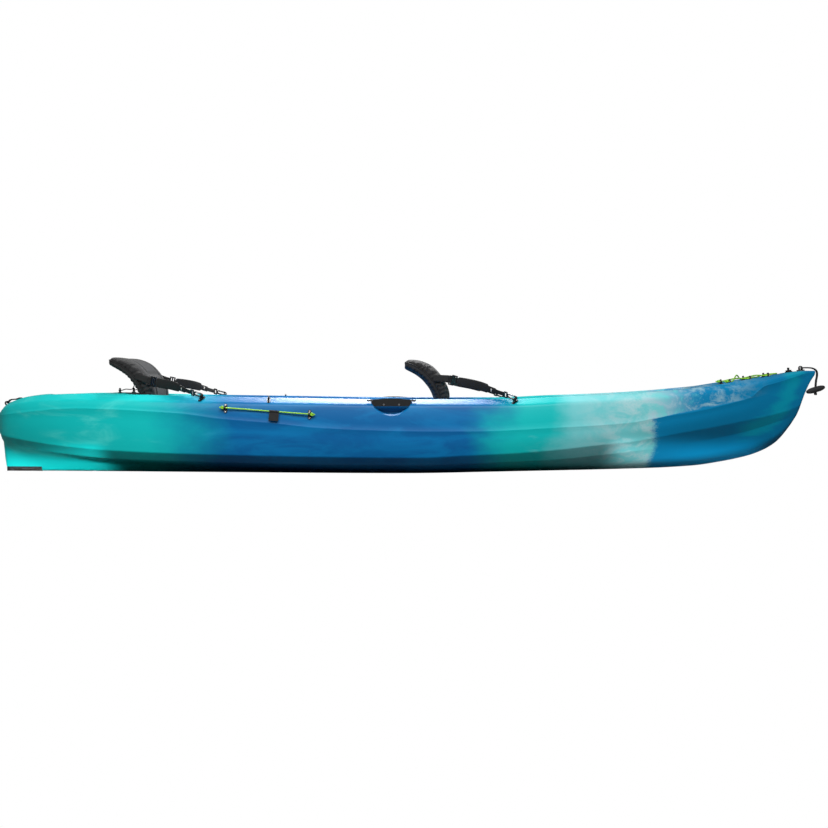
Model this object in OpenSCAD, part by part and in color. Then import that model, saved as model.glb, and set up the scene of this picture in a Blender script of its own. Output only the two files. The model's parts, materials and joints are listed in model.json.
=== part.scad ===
// Tandem sit-on-top kayak: one hollow moulded hull with two strapped seats, carry handles,
// end toggles, paddle keepers and bow rigging. Millimetres, +X to the bow, +Y to port, +Z up.
// The origin is on the underside of the keel at mid length.

/* [Hull] */
// Length of the hull
hull_l = 3660; // [3500:10:3900]
// Greatest width of the hull
beam = 860; // [820:5:900]
// Thickness of the moulded wall
wall = 4; // [3.5:0.5:6]
// Height of the rim amidships
mid_h = 325; // [315:5:345]
// Height of the crown behind the rear seat
crown_h = 347; // [340:5:365]
// Height of the stern's tip
stern_h = 259; // [245:5:275]
// Height of the bow's tip
bow_h = 448; // [435:5:465]
// Width of the sloping bevel on the rim
bevel_w = 42; // [36:1:48]
// Height of that bevel
bevel_h = 25; // [20:1:28]
// How far the upper side panel leans in
panel_lean = 12; // [6:1:16]

/* [Cockpit] */
// Flat ledge between the rim and the cockpit's wall
ledge = 26; // [20:1:34]
// Height of the cockpit's main floor
deck_floor = 235; // [225:5:245]
// Height of the front seat's pan
front_pan = 165; // [155:1:175]
// Height of the rear seat's pan
rear_pan = 175; // [165:1:185]
// Half width of both seat pans
pan_half = 262; // [250:1:270]
// Height of the foot wells' floor
foot_floor = 108; // [104:1:125]
// Height of the middle seat's dish
dish_floor = 206; // [200:1:220]
// Height of the tank well's floor
tank_floor = 232; // [225:1:245]
// Radius of a scupper hole
scupper_r = 14; // [10:1:17]

/* [Carry handles] */
// Place of the side handles along the hull
handle_x = -66; // [-90:1:-40]
// Radius of the finger scoop
scoop_r = 97.5; // [92:0.5:102]
// Height of the scoop's lowest point
scoop_low = 262; // [255:1:268]
// Depth of the finger scoop in from the hull's widest point
scoop_depth = 65; // [60:1:70]
// Thickness of the grip
grip_t = 15; // [12:1:18]
// Height of the grip's lower edge above the scoop
grip_gap = 34; // [30:1:36]

/* [Seats] */
// Place of the front seat's fold
front_seat_x = 148; // [138:1:158]
// Place of the rear seat's fold
rear_seat_x = -1142; // [-1150:1:-1132]
// Half width of a seat back at its top
back_half = 228; // [215:1:236]
// Half width of a seat back at its foot
back_foot_half = 196; // [185:1:210]
// Thickness of the back's cushion
back_pad_t = 52; // [44:1:58]
// Thickness of the back's board
back_board_t = 22; // [16:1:24]
// Length of a seat pad
pad_l = 320; // [300:1:326]
// Half width of a seat pad
pad_half = 190; // [180:1:195]
// Thickness of a seat pad
pad_t = 30; // [22:1:34]
// Place of the front straps' pad eyes
front_eye_x = 455; // [440:1:470]
// Place of the rear straps' pad eyes
rear_eye_x = -872; // [-885:1:-860]
// Width of a strap's padded sleeve
sleeve_w = 42; // [36:1:44]
// Width of the strap's webbing
web_w = 20; // [18:1:24]

/* [Rigging] */
// Radius of the elastic cord
bungee_r = 3; // [2.5:0.1:3.5]
// Radius of the toggle cords
cord_r = 3; // [2.5:0.1:3.4]
// Place of the keepers' aft pad eyes
keeper_aft_x = -765; // [-780:1:-750]
// Place of the keepers' forward pad eyes
keeper_fore_x = -409; // [-420:1:-395]
// Length of a keeper's pull tab along its cord
tab_l = 41; // [32:1:50]
// Drop of a keeper's pull tab
tab_drop = 40; // [30:1:46]
// Length of a toggle's grip
toggle_l = 107; // [95:1:112]
// Radius of a toggle's grip at its middle
toggle_r = 13; // [11.5:0.5:14]
// Distance of the drain plug from the bow's tip
drain_from_bow = 116; // [110:1:125]

/* [Hidden] */

half_beam = beam / 2;
bow_x = hull_l / 2;
stern_x = -hull_l / 2;
drain_x = bow_x - drain_from_bow;
scoop_back = half_beam - scoop_depth;

// Smooth curves through [place, value] pairs, where a place is a share of the length from the stern.
function clamp(v, low, high) = max(low, min(high, v));
function ease(t) = let (c = clamp(t, 0, 1)) c * c * (3 - 2 * c);
function span_at(line, s, i = 0) = i >= len(line) - 2 || s < line[i + 1][0] ? i : span_at(line, s, i + 1);
function rise(line, i) = (line[i + 1][1] - line[i][1]) / (line[i + 1][0] - line[i][0]);
function slope_at(line, i) =
    i == 0 ? rise(line, 0) :
    i == len(line) - 1 ? rise(line, i - 1) :
    let (a = rise(line, i - 1), b = rise(line, i)) a * b <= 0 ? 0 : 2 * a * b / (a + b);
function along(line, s) =
    let (
        i = span_at(line, s),
        w = line[i + 1][0] - line[i][0],
        t = clamp((s - line[i][0]) / w, 0, 1),
        a = slope_at(line, i) * w,
        b = slope_at(line, i + 1) * w,
        p = line[i][1],
        q = line[i + 1][1]
    )
    p + t * (a + t * (3 * (q - p) - 2 * a - b + t * (2 * (p - q) + a + b)));

// The hull's lines. Half widths are shares of the half beam, and heights are from the keel's flat.
plan_line = [
    [0, 0.075], [0.008, 0.2], [0.02, 0.31], [0.05, 0.47], [0.1, 0.635], [0.2, 0.82], [0.35, 0.965], [0.5, 1],
    [0.6, 0.977], [0.7, 0.884], [0.8, 0.7], [0.9, 0.42], [0.96, 0.19], [0.985, 0.085], [1, 0.03]];
keel_line = [
    [0, 165], [0.004, 150], [0.0065, 60], [0.0095, 0], [0.5, 0], [0.6, 5], [0.72, 11], [0.8, 16], [0.85, 25],
    [0.88, 40], [0.915, 66], [0.934, 90], [0.951, 126], [0.969, 201], [0.977, 250], [0.987, 345], [0.994, 398], [1, 430]];
rim_line = [
    [0, stern_h], [0.0135, stern_h + 41], [0.043, crown_h - 15], [0.073, crown_h - 5], [0.117, crown_h],
    [0.159, crown_h - 2], [0.264, mid_h + 12], [0.368, mid_h + 6], [0.49, mid_h], [0.614, mid_h],
    [0.678, mid_h + 10], [0.737, mid_h + 18], [0.796, bow_h - 92], [0.855, bow_h - 71], [0.899, bow_h - 45],
    [0.943, bow_h - 23], [0.973, bow_h - 5], [0.988, bow_h], [1, bow_h]];
crease_line = [
    [0, 250], [0.114, 285], [0.232, 266], [0.287, 242], [0.341, 226], [0.395, 206], [0.449, 196], [0.53, 190],
    [0.57, 190], [0.677, 206], [0.761, 225], [0.79, 243], [0.844, 273], [0.89, 309], [0.909, 328], [0.934, 391],
    [0.96, 425], [1, 440]];
chine_top_line = [
    [0, 166], [0.048, 140], [0.097, 120], [0.147, 106], [0.257, 92], [0.515, 79], [0.568, 88], [0.622, 97],
    [0.677, 112], [0.713, 126], [0.761, 143], [0.817, 175], [0.9, 225], [0.977, 290], [1, 436]];
chine_low_line = [
    [0, 150], [0.04, 112], [0.089, 87], [0.147, 69], [0.257, 58], [0.515, 45], [0.568, 51], [0.622, 59],
    [0.677, 68], [0.713, 80], [0.761, 98], [0.817, 125], [0.862, 148], [0.898, 171], [0.934, 204], [0.977, 262],
    [1, 432]];
keel_half_line = [
    [0, 8], [0.0095, 24], [0.06, 38], [0.25, 120], [0.5, 200], [0.7, 140], [0.85, 50], [0.95, 18], [1, 5]];
root_out_line = [[0, 0.3], [0.1, 0.25], [0.3, 0.45], [0.7, 0.5], [0.86, 0.66], [1, 0.7]];
root_up_line = [[0, 0.75], [0.1, 0.75], [0.3, 0.5], [0.5, 0.38], [0.7, 0.38], [0.86, 0.3], [1, 0.3]];

// Where the hull is narrower than this half width, its fixed widths fade.
fade_half = 200;
chine_top_in = 15;
chine_low_in = 55;
panel_swell = 5;
// The deck's crown over its rim. Between the bow pad eyes it is a shallow dish with straight sides.
crown_line = [[0, 6], [0.84, 6], [0.87, -28], [0.948, -28], [0.9615, 6], [1, 6]];
wide = 1000;

function share(x) = x / hull_l + 0.5;
function rim_z(x) = along(rim_line, share(x));
function half_width(x) = half_beam * along(plan_line, share(x));
function fade(x) = clamp(half_width(x) / fade_half, 0.12, 1);
function inner_half(x) =
    let (b = half_width(x)) b - panel_lean * fade(x) - min(bevel_w, 0.34 * b);

// Wells in the deck: [aft end, fore end, end slope, inner half width, outer half width, side slope, floor].
function well(aft, fore, end_slope, inner, outer, side_slope, floor_z) =
    [aft, fore, end_slope, inner, outer, side_slope, floor_z];
toggle_well_x = stern_x + 135;
toggle_well_depth = 34;
toggle_well_aft = 50;
toggle_well_fore = 55;
toggle_well_half = 76;
toggle_well_floor = rim_z(toggle_well_x) - toggle_well_depth;
cockpit_aft = rear_seat_x - 73;
cockpit_fore = bow_x - 555;
well_end = 60;
cockpit_side = 48;
tank_aft = stern_x + 215;
tank_fore = cockpit_aft - 90;
tank_side = 50;
pan_l = 536;
pan_behind = 90;
pan_end = 55;
pan_side = 45;
rear_foot_aft = -660;
rear_foot_fore = -55;
rear_foot_end = 70;
rear_foot_in = 160;
rear_foot_out = 312;
dish_aft = -500;
dish_fore = -110;
dish_half = 152;
front_foot_aft = 610;
front_foot_fore = cockpit_fore - 40;
front_foot_in = 36;
front_foot_out = 250;
foot_end = 80;
foot_side = 40;
wells = [
    well(toggle_well_x - toggle_well_aft, toggle_well_x + toggle_well_fore, 28, 0, toggle_well_half, 14,
        toggle_well_floor),
    well(tank_aft, tank_fore, well_end, 0, wide, tank_side, tank_floor),
    well(cockpit_aft, cockpit_fore, well_end, 0, wide, cockpit_side, deck_floor),
    well(rear_seat_x - pan_behind, rear_seat_x - pan_behind + pan_l, pan_end, 0, pan_half, pan_side, rear_pan),
    well(rear_foot_aft, rear_foot_fore, rear_foot_end, rear_foot_in, rear_foot_out, foot_side, foot_floor),
    well(dish_aft, dish_fore, foot_end, 0, dish_half, tank_side, dish_floor),
    well(front_seat_x - pan_behind, front_seat_x - pan_behind + pan_l, pan_end, 0, pan_half, pan_side, front_pan),
    well(front_foot_aft, front_foot_fore, foot_end, front_foot_in, front_foot_out, foot_side, foot_floor)];

function in_well(w, x, y, outer) =
    ease((x - w[0]) / w[2]) * ease((w[1] - x) / w[2])
    * (w[3] > 0 ? ease((y - w[3]) / w[5]) : 1) * ease((min(w[4], outer) - y) / w[5]);
function sunk(z, x, y, outer, i = 0) =
    i == len(wells) ? z : sunk(z + (wells[i][6] - z) * in_well(wells[i], x, y, outer), x, y, outer, i + 1);
function deck_z(x, y) =
    let (
        r = inner_half(x),
        crown = along(crown_line, share(x)) * fade(x),
        out = min(abs(y) / r, 1)
    )
    sunk(rim_z(x) + crown * (1 - (crown < 0 ? out : out * out)), x, abs(y), r - ledge * fade(x));

// Half a cross-section as [half width, height] points, from the keel's centre round to the deck's centre.
deck_shares = [0.95, 0.87, 0.78, 0.67, 0.55, 0.43, 0.3, 0.15, 0];
function section(x) =
    let (
        s = share(x),
        b = half_width(x),
        f = fade(x),
        keel = along(keel_line, s),
        rim = rim_z(x),
        step = 0.06 * (rim - keel),
        edge_z = rim - min(bevel_h * f, 5 * step),
        low_z = max(along(chine_low_line, s), keel + step),
        top_z = max(along(chine_top_line, s), low_z + step),
        crease_z = clamp(along(crease_line, s), top_z + step, edge_z - step),
        keel_y = min(along(keel_half_line, s), 0.5 * b),
        low_y = b - chine_low_in * f,
        top_y = b - chine_top_in * f,
        edge_y = b - panel_lean * f,
        root_y = keel_y + (low_y - keel_y) * along(root_out_line, s),
        root_z = keel + (low_z - keel) * along(root_up_line, s),
        r = inner_half(x)
    )
    concat(
        [
            [0, keel],
            [keel_y, keel],
            [root_y, root_z],
            [low_y, low_z],
            [top_y, top_z],
            [(top_y + b) / 2 + panel_swell * f, (top_z + crease_z) / 2],
            [b, crease_z],
            [(b + edge_y) / 2 + panel_swell * f / 2, (crease_z + edge_z) / 2],
            [edge_y, edge_z],
            [r, rim]
        ],
        [for (k = deck_shares) [r * k, deck_z(x, r * k)]]);
half_n = 10 + len(deck_shares);
ring_n = 2 * half_n - 2;
function ring(x) =
    let (h = section(x))
    concat(
        [for (p = h) [x, p[0], p[1]]],
        [for (i = [half_n - 2:-1:1]) [x, -h[i][0], h[i][1]]]);

// Stations along the hull, closer at the two ends.
aft_shares = [0, 0.004, 0.0065, 0.0095, 0.017, 0.0235, 0.0295, 0.0375, 0.0465];
fore_shares = [0.951, 0.96, 0.969, 0.977, 0.984, 0.99, 0.995, 1];
even_from = 0.058;
even_to = 0.942;
even_n = 60;
stations = concat(
    aft_shares,
    [for (i = [0:even_n]) even_from + (even_to - even_from) * i / even_n],
    fore_shares);
hull_rings = [for (s = stations) ring((s - 0.5) * hull_l)];

// The inner skin follows the outer one, a wall's thickness inside it.
void_from = 5;
void_to = len(stations) - 5;
function unit(v) = v / norm(v);
function skin_normal(i, j) =
    let (
        fore = hull_rings[i + 1][j] - hull_rings[i - 1][j],
        round = hull_rings[i][(j + 1) % ring_n] - hull_rings[i][(j + ring_n - 1) % ring_n]
    )
    unit(cross(round, fore));
void_rings = [
    for (i = [void_from:void_to]) [for (j = [0:ring_n - 1]) hull_rings[i][j] - wall * skin_normal(i, j)]];

function mean(points) = [for (a = [0:2]) [for (p = points) p[a]] * [for (p = points) 1] / len(points)];
function middle(rings, i) = [mean(rings[i])[0], 0, (rings[i][0][2] + 3 * rings[i][half_n - 1][2]) / 4];

// A closed skin over rings of points, with a fan over each end.
module loft(rings, first, last) {
    n = len(rings[0]);
    m = len(rings);
    points = concat([for (r = rings) each r], [first, last]);
    sides = [
        for (i = [0:m - 2], j = [0:n - 1])
            let (a = i * n + j, b = i * n + (j + 1) % n)
            each [[a, a + n, b], [b, a + n, b + n]]];
    fan_a = [for (j = [0:n - 1]) [m * n, j, (j + 1) % n]];
    fan_b = [for (j = [0:n - 1]) [m * n + 1, (m - 1) * n + (j + 1) % n, (m - 1) * n + j]];
    polyhedron(points, concat(sides, fan_a, fan_b));
}

// Places on the hull: each is [point, outward normal, direction along the skin].
probe = 8;
function skin_point(x, k, t, side) =
    let (h = section(x), p = h[k] + t * (h[k + 1] - h[k])) [x, side * p[0], p[1]];
function skin_place(x, k, t, side, towards) =
    let (
        p = skin_point(x, k, t, side),
        fore = skin_point(x + probe, k, t, side) - skin_point(x - probe, k, t, side),
        up = skin_point(x, k, 1, side) - skin_point(x, k, 0, side),
        n = unit(side * cross(up, fore)),
        d = towards - p
    )
    [p, n, unit(d - (d * n) * n)];
function deck_point(x, y) = [x, y, deck_z(x, y)];
function deck_place(x, y, towards) =
    let (
        p = deck_point(x, y),
        n = unit(cross(
            deck_point(x + probe, y) - deck_point(x - probe, y),
            deck_point(x, y + probe) - deck_point(x, y - probe))),
        d = towards - p
    )
    [p, n, unit(d - (d * n) * n)];
module stand(place, lift = 0) {
    x_axis = place[2];
    z_axis = place[1];
    y_axis = cross(z_axis, x_axis);
    p = place[0] + lift * z_axis;
    multmatrix([for (a = [0:2]) [x_axis[a], y_axis[a], z_axis[a], p[a]]]) children();
}
function local(place, v) =
    place[0] + v[0] * place[2] + v[1] * cross(place[1], place[2]) + v[2] * place[1];

// Cords and straps: a smooth route through points, and a tube or a flat strap swept along it.
function bend(a, b, c, d, t) =
    0.5 * (2 * b + (c - a) * t + (2 * a - 5 * b + 4 * c - d) * t * t + (3 * b - a - 3 * c + d) * t * t * t);
function smooth(points, steps) =
    let (n = len(points) - 1)
    concat(
        [for (i = [0:n - 1], k = [0:steps - 1])
            bend(points[max(i - 1, 0)], points[i], points[i + 1], points[min(i + 2, n)], k / steps)],
        [points[n]]);
function heading(points, i) = unit(points[min(i + 1, len(points) - 1)] - points[max(i - 1, 0)]);
function square_to(v, d) = unit(v - (v * d) * d);
function carried(points, first, i = 0, rows = []) =
    i == len(points) ? rows :
    carried(points, first, i + 1,
        concat(rows, [square_to(i == 0 ? first : rows[i - 1], heading(points, i))]));
cord_sides = 8;
module cord(points, radii, first) {
    sides = carried(points, first);
    rings = [
        for (i = [0:len(points) - 1])
            let (a = sides[i], b = cross(heading(points, i), a))
            [for (k = [0:cord_sides - 1])
                let (turn = 360 * k / cord_sides)
                points[i] + radii[i] * (cos(turn) * a + sin(turn) * b)]];
    loft(rings, points[0], points[len(points) - 1]);
}
strap_round = 0.7;
strap_corners = [
    [1, 0], [strap_round, 1], [-strap_round, 1], [-1, 0], [-strap_round, -1], [strap_round, -1]];
module strap(points, widths, thicknesses, ups) {
    rings = [
        for (i = [0:len(points) - 1])
            let (
                d = heading(points, i),
                up = square_to(ups[i], d),
                out = cross(d, up),
                w = widths[i] / 2,
                t = thicknesses[i] / 2
            )
            [for (c = strap_corners) points[i] + c[0] * w * up + c[1] * t * out]];
    loft(rings, points[0], points[len(points) - 1]);
}
function even(n, v) = [for (i = [1:n]) v];
function turned(list) = [for (i = [len(list) - 1:-1:0]) list[i]];

// Pad eyes: a foot with a fin and a round eye, held by two screws. The eye's axis is the place's direction.
eye_foot_l = 40;
eye_foot_w = 14;
eye_foot_t = 3;
eye_fin_t = 6;
eye_r = 5.5;
eye_out_r = 10;
eye_z = 12;
eye_screw = 14;
screw_r = 1.9;
screw_head_r = 3.4;
screw_head_h = 1.8;
screw_reach = wall + 5;
seat_gap = 0.3;
hole_gap = 0.1;
module pad_eye() {
    difference() {
        union() {
            linear_extrude(eye_foot_t) {
                square([eye_foot_w, eye_foot_l - eye_foot_w], center = true);
                for (side = [-1, 1])
                    translate([0, side * (eye_foot_l - eye_foot_w) / 2]) circle(d = eye_foot_w, $fn = 32);
            }
            translate([-eye_fin_t / 2, -eye_out_r, 0]) cube([eye_fin_t, 2 * eye_out_r, eye_z]);
            translate([0, 0, eye_z]) rotate([0, 90, 0])
                cylinder(r = eye_out_r, h = eye_fin_t, center = true, $fn = 48);
        }
        translate([0, 0, eye_z]) rotate([0, 90, 0])
            cylinder(r = eye_r, h = 2 * eye_fin_t, center = true, $fn = 48);
        for (side = [-1, 1])
            translate([0, side * eye_screw, -1]) cylinder(r = screw_r + hole_gap, h = eye_foot_t + 2, $fn = 24);
    }
}
module screw(under_head) {
    cylinder(r = screw_head_r, h = screw_head_h, $fn = 24);
    translate([0, 0, -under_head - screw_reach]) cylinder(r = screw_r, h = under_head + screw_reach, $fn = 24);
}
module eyes(places) {
    for (p = places) stand(p, seat_gap) pad_eye();
}
module eye_screws(places) {
    for (p = places, side = [-1, 1])
        stand(p, seat_gap + eye_foot_t) translate([0, side * eye_screw, 0]) screw(eye_foot_t + seat_gap);
}
function eye_hole(place) = place[0] + (seat_gap + eye_z) * place[1];

// Where the fittings sit
edge_k = 8;
panel_k = 7;
bevel_mid = 0.5;
strap_reach = 252;
rear_strap_reach = 228;
buckle_y = back_half + 4;
front_buckle_z = 405;
rear_buckle_z = 400;
centre_eye_x = -584;
keeper_aft_t = 0.33;
keeper_fore_t = 0.1;
bow_eye_x = [for (d = [398, 302, 216]) bow_x - d];
bow_eye_share = 0.64;
bow_toggle_x = bow_x - 62;
stern_toggle_x = stern_x + 35;
tether_back = 120;
tether_eye_x = rear_seat_x - tether_back;
tether_eye_y = 150;
ahead = [wide * 10, 0, 0];
abeam = [0, wide * 10, 0];
function front_buckle(side) = [front_eye_x - strap_reach, side * buckle_y, front_buckle_z];
function rear_buckle(side) = [rear_eye_x - rear_strap_reach, side * buckle_y, rear_buckle_z];
function front_eye(side) = skin_place(front_eye_x, edge_k, bevel_mid, side, front_buckle(side));
function rear_eye(side) = skin_place(rear_eye_x, edge_k, bevel_mid, side, rear_buckle(side));
seat_eyes = [for (side = [-1, 1]) each [front_eye(side), rear_eye(side)]];
centre_eyes = [for (side = [-1, 1]) skin_place(centre_eye_x, edge_k, bevel_mid, side, ahead)];
function keeper_eye(x, t, side) = skin_place(x, panel_k, t, side, ahead);
function keeper_pair(side) =
    [keeper_eye(keeper_aft_x, keeper_aft_t, side), keeper_eye(keeper_fore_x, keeper_fore_t, side)];
keeper_eyes = [for (side = [-1, 1]) each keeper_pair(side)];
function bow_eye(i, side) =
    let (x = bow_eye_x[i]) deck_place(x, side * bow_eye_share * inner_half(x), ahead);
bow_eyes = [for (side = [-1, 1], i = [0:2]) bow_eye(i, side)];
bow_toggle_place = deck_place(bow_toggle_x, 0, abeam);
stern_toggle_place = deck_place(stern_toggle_x, 0, abeam);
tether_eyes = [for (side = [-1, 1]) deck_place(tether_eye_x, side * tether_eye_y, ahead)];

// Hull, with its scuppers, handle scoops, drain hole and the rebate for the skid plate
scuppers = [
    [tank_aft + 215, 45], [rear_foot_fore - 95, (rear_foot_in + rear_foot_out) / 2], [front_foot_aft + 110, 140]];
skid_fore = stern_x + 194;
skid_aft = stern_x + 33;
skid_h = 20;
scoop_z = scoop_low + scoop_r;
pivot_y = half_beam - 29;
pivot_z = scoop_low + 58;
pin_r = 4;
boss_r = 9;
pin_out = 104;
drain_hole_r = 11;
drain_depth = 40;
drain_place = deck_place(drain_x, 0, ahead);
module scoop(extra) {
    for (side = [-1, 1])
        translate([handle_x, side * (scoop_back - extra), scoop_z]) rotate([-side * 90, 0, 0])
            cylinder(r = scoop_r + extra, h = beam, $fn = 96);
}
module scupper_holes(r) {
    for (p = scuppers, side = [-1, 1]) translate([p[0], side * p[1], -1]) cylinder(r = r, h = bow_h, $fn = 48);
}
module skid_rebate(extra) {
    translate([-hull_l, -beam / 2, -1]) cube([skid_fore + extra + hull_l, beam, skid_h + 1 + extra]);
}
module pin_bosses() {
    for (side = [-1, 1], end = [-1, 1])
        translate([handle_x + end * pin_out, side * pivot_y, pivot_z]) rotate([0, -end * 90, 0])
            cylinder(r = boss_r, h = pin_out / 2, $fn = 32);
}
module hull() {
    color("steelblue")
    difference() {
        loft(hull_rings, middle(hull_rings, 0), middle(hull_rings, len(hull_rings) - 1));
        difference() {
            loft(void_rings, middle(void_rings, 0), middle(void_rings, len(void_rings) - 1));
            scoop(wall);
            scupper_holes(scupper_r + wall);
            skid_rebate(wall);
            pin_bosses();
        }
        scoop(0);
        scupper_holes(scupper_r);
        skid_rebate(0);
        stand(drain_place, -drain_depth) cylinder(r = drain_hole_r, h = 2 * drain_depth, $fn = 48);
    }
}

// Skid plate under the aft end of the keel, held by screws from below
skid_aft_half = 25;
skid_fore_half = 37;
skid_screw_x = [for (d = [32, 82, 132]) skid_aft + d];
skid_gap = 0.3;
module skid_plate() {
    color("#202124")
    difference() {
        linear_extrude(skid_h)
            polygon([
                [skid_aft, -skid_aft_half], [skid_fore - skid_gap, -skid_fore_half],
                [skid_fore - skid_gap, skid_fore_half], [skid_aft, skid_aft_half]]);
        for (x = skid_screw_x) {
            translate([x, 0, -1]) cylinder(r = screw_r + hole_gap, h = skid_h + 2, $fn = 24);
            translate([x, 0, -1]) cylinder(r = screw_head_r + hole_gap, h = skid_h / 2 + 1, $fn = 24);
        }
    }
}
module skid_plate_screws() {
    color("silver")
    for (x = skid_screw_x) translate([x, 0, skid_h / 2]) rotate([180, 0, 0]) screw(skid_h / 2);
}

// Drain on the bow deck: a flanged fitting, a winged plug and its flat seal
drain_flange_r = 17;
drain_flange_t = 3;
drain_bore_r = 7;
plug_gap = 0.08;
plug_head_r = 13;
plug_head_t = 4;
plug_reach = 14;
seal_t = 1.5;
seal_gap = 0.1;
wing_l = 24;
wing_h = 11;
wing_t = 4;
module drain_fitting() {
    color("#18191b")
    stand(drain_place, seat_gap) difference() {
        union() {
            cylinder(r = drain_flange_r, h = drain_flange_t, $fn = 64);
            translate([0, 0, -plug_reach]) cylinder(r = drain_hole_r - 2 * hole_gap, h = plug_reach, $fn = 64);
        }
        translate([0, 0, -plug_reach - 1]) cylinder(r = drain_bore_r, h = plug_reach + drain_flange_t + 2, $fn = 48);
    }
}
module drain_plug_seal() {
    color("black")
    stand(drain_place, seat_gap + drain_flange_t) difference() {
        cylinder(r = plug_head_r - 1, h = seal_t, $fn = 64);
        translate([0, 0, -1]) cylinder(r = drain_bore_r + seal_gap, h = seal_t + 2, $fn = 48);
    }
}
module drain_plug() {
    color("#18191b")
    stand(drain_place, seat_gap + drain_flange_t + seal_t + seal_gap) {
        cylinder(r = plug_head_r, h = plug_head_t, $fn = 64);
        translate([0, 0, -seal_t - plug_reach])
            cylinder(r = drain_bore_r - plug_gap, h = seal_t + plug_reach, $fn = 48);
        translate([-wing_t / 2, -wing_l / 2, plug_head_t]) cube([wing_t, wing_l, wing_h]);
    }
}

// Side carry handles: an arched grip swinging on two pins at the ends of its scoop
grip_y = pivot_y + 3;
grip_top = pivot_z + 9;
grip_arch_r = 560;
grip_end_gap = 1;
pin_in = 62;
pin_gap = 0.05;
rivet_out = 32;
rivet_z = scoop_low + grip_gap + 7;
rivet_head_r = 4;
rivet_head_h = 2;
rivet_r = 2;
rivet_depth = 11;
module along_y(r, h) {
    rotate([-90, 0, 0]) cylinder(r = r, h = h, $fn = 96);
}
module grip(side) {
    translate([handle_x, 0, 0]) rotate(side < 0 ? 180 : 0) translate([0, grip_y - grip_t / 2, 0]) difference() {
        intersection() {
            translate([0, 0, scoop_z]) along_y(scoop_r - grip_end_gap, grip_t);
            translate([0, 0, grip_top - grip_arch_r]) along_y(grip_arch_r, grip_t);
            translate([-scoop_r, 0, scoop_low + grip_gap]) cube([2 * scoop_r, grip_t, scoop_r]);
        }
        for (end = [-1, 1]) {
            translate([end * pin_in, pivot_y - grip_y + grip_t / 2, pivot_z]) rotate([0, end * 90, 0])
                cylinder(r = pin_r + pin_gap, h = scoop_r, $fn = 48);
            translate([end * rivet_out, grip_t - rivet_depth, rivet_z]) along_y(rivet_r + pin_gap, grip_t);
        }
    }
}
module handle_pins(side) {
    for (end = [-1, 1])
        translate([handle_x + end * (pin_in + pin_gap), side * pivot_y, pivot_z]) rotate([0, end * 90, 0])
            cylinder(r = pin_r, h = pin_out - pin_in - pin_gap, $fn = 48);
}
module grip_rivets(side) {
    translate([handle_x, 0, 0]) rotate(side < 0 ? 180 : 0)
        for (end = [-1, 1]) translate([end * rivet_out, grip_y + grip_t / 2, rivet_z]) {
            along_y(rivet_head_r, rivet_head_h);
            translate([0, -rivet_depth, 0]) along_y(rivet_r, rivet_depth);
        }
}
module starboard_handle_grip() { color("#1b1c1e") grip(-1); }
module port_handle_grip() { color("#1b1c1e") grip(1); }
module starboard_handle_pins() { color("silver") handle_pins(-1); }
module port_handle_pins() { color("silver") handle_pins(1); }
module starboard_grip_rivets() { color("silver") grip_rivets(-1); }
module port_grip_rivets() { color("silver") grip_rivets(1); }

// Paddle keepers: an elastic cord between two pad eyes, knotted outside each, with a webbing pull tab
knot_r = 6.5;
knot_half = 6;
knot_face = 3;
tail_l = 7;
knot_out = eye_fin_t / 2 + seat_gap + knot_half;
knot_steps = [
    knot_half + tail_l, knot_half + 2, knot_half, knot_face, -knot_face, -knot_half + 0.4, -knot_half];
knot_outs = [for (o = knot_steps) knot_out + o];
knot_bulges = [0.75, 1, 1.15, knot_r / bungee_r, knot_r / bungee_r, 0.95 * knot_r / bungee_r, 1];
tab_at = 0.584;
tab_t = 3;
tab_sleeve_t = 1.8;
tab_gap = 0.3;
function keeper_ends(side) = [for (p = keeper_pair(side)) eye_hole(p)];
module keeper_bungee(side) {
    ends = keeper_ends(side);
    d = unit(ends[1] - ends[0]);
    points = concat(
        [for (o = knot_outs) ends[0] - o * d],
        [ends[0], (ends[0] + ends[1]) / 2, ends[1]],
        [for (o = turned(knot_outs)) ends[1] + o * d]);
    radii = bungee_r * concat(knot_bulges, even(3, 1), turned(knot_bulges));
    cord(points, radii, [0, 0, 1]);
}
function tab_place(side) =
    let (
        ends = keeper_ends(side),
        d = unit(ends[1] - ends[0]),
        out = square_to(keeper_pair(side)[1][1], d)
    )
    [ends[0] + tab_at * (ends[1] - ends[0]), out, d];
module keeper_tab(side) {
    stand(tab_place(side)) difference() {
        union() {
            rotate([0, 90, 0]) cylinder(r = bungee_r + tab_gap + tab_sleeve_t, h = tab_l, center = true, $fn = 48);
            translate([-tab_l / 2, side > 0 ? 0 : -tab_drop, -tab_t / 2]) cube([tab_l, tab_drop, tab_t]);
        }
        rotate([0, 90, 0]) cylinder(r = bungee_r + tab_gap, h = tab_l + 2, center = true, $fn = 48);
    }
}
module starboard_keeper_bungee() { color("yellowgreen") keeper_bungee(-1); }
module port_keeper_bungee() { color("yellowgreen") keeper_bungee(1); }
module starboard_keeper_tab() { color("#1a1a1b") keeper_tab(-1); }
module port_keeper_tab() { color("#1a1a1b") keeper_tab(1); }
module keeper_pad_eyes() { color("#18191b") eyes(keeper_eyes); }
module keeper_eye_screws() { color("silver") eye_screws(keeper_eyes); }
module seat_pad_eyes() { color("#18191b") eyes(seat_eyes); }
module seat_eye_screws() { color("silver") eye_screws(seat_eyes); }
module centre_pad_eyes() { color("#18191b") eyes(centre_eyes); }
module centre_eye_screws() { color("silver") eye_screws(centre_eyes); }

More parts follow.
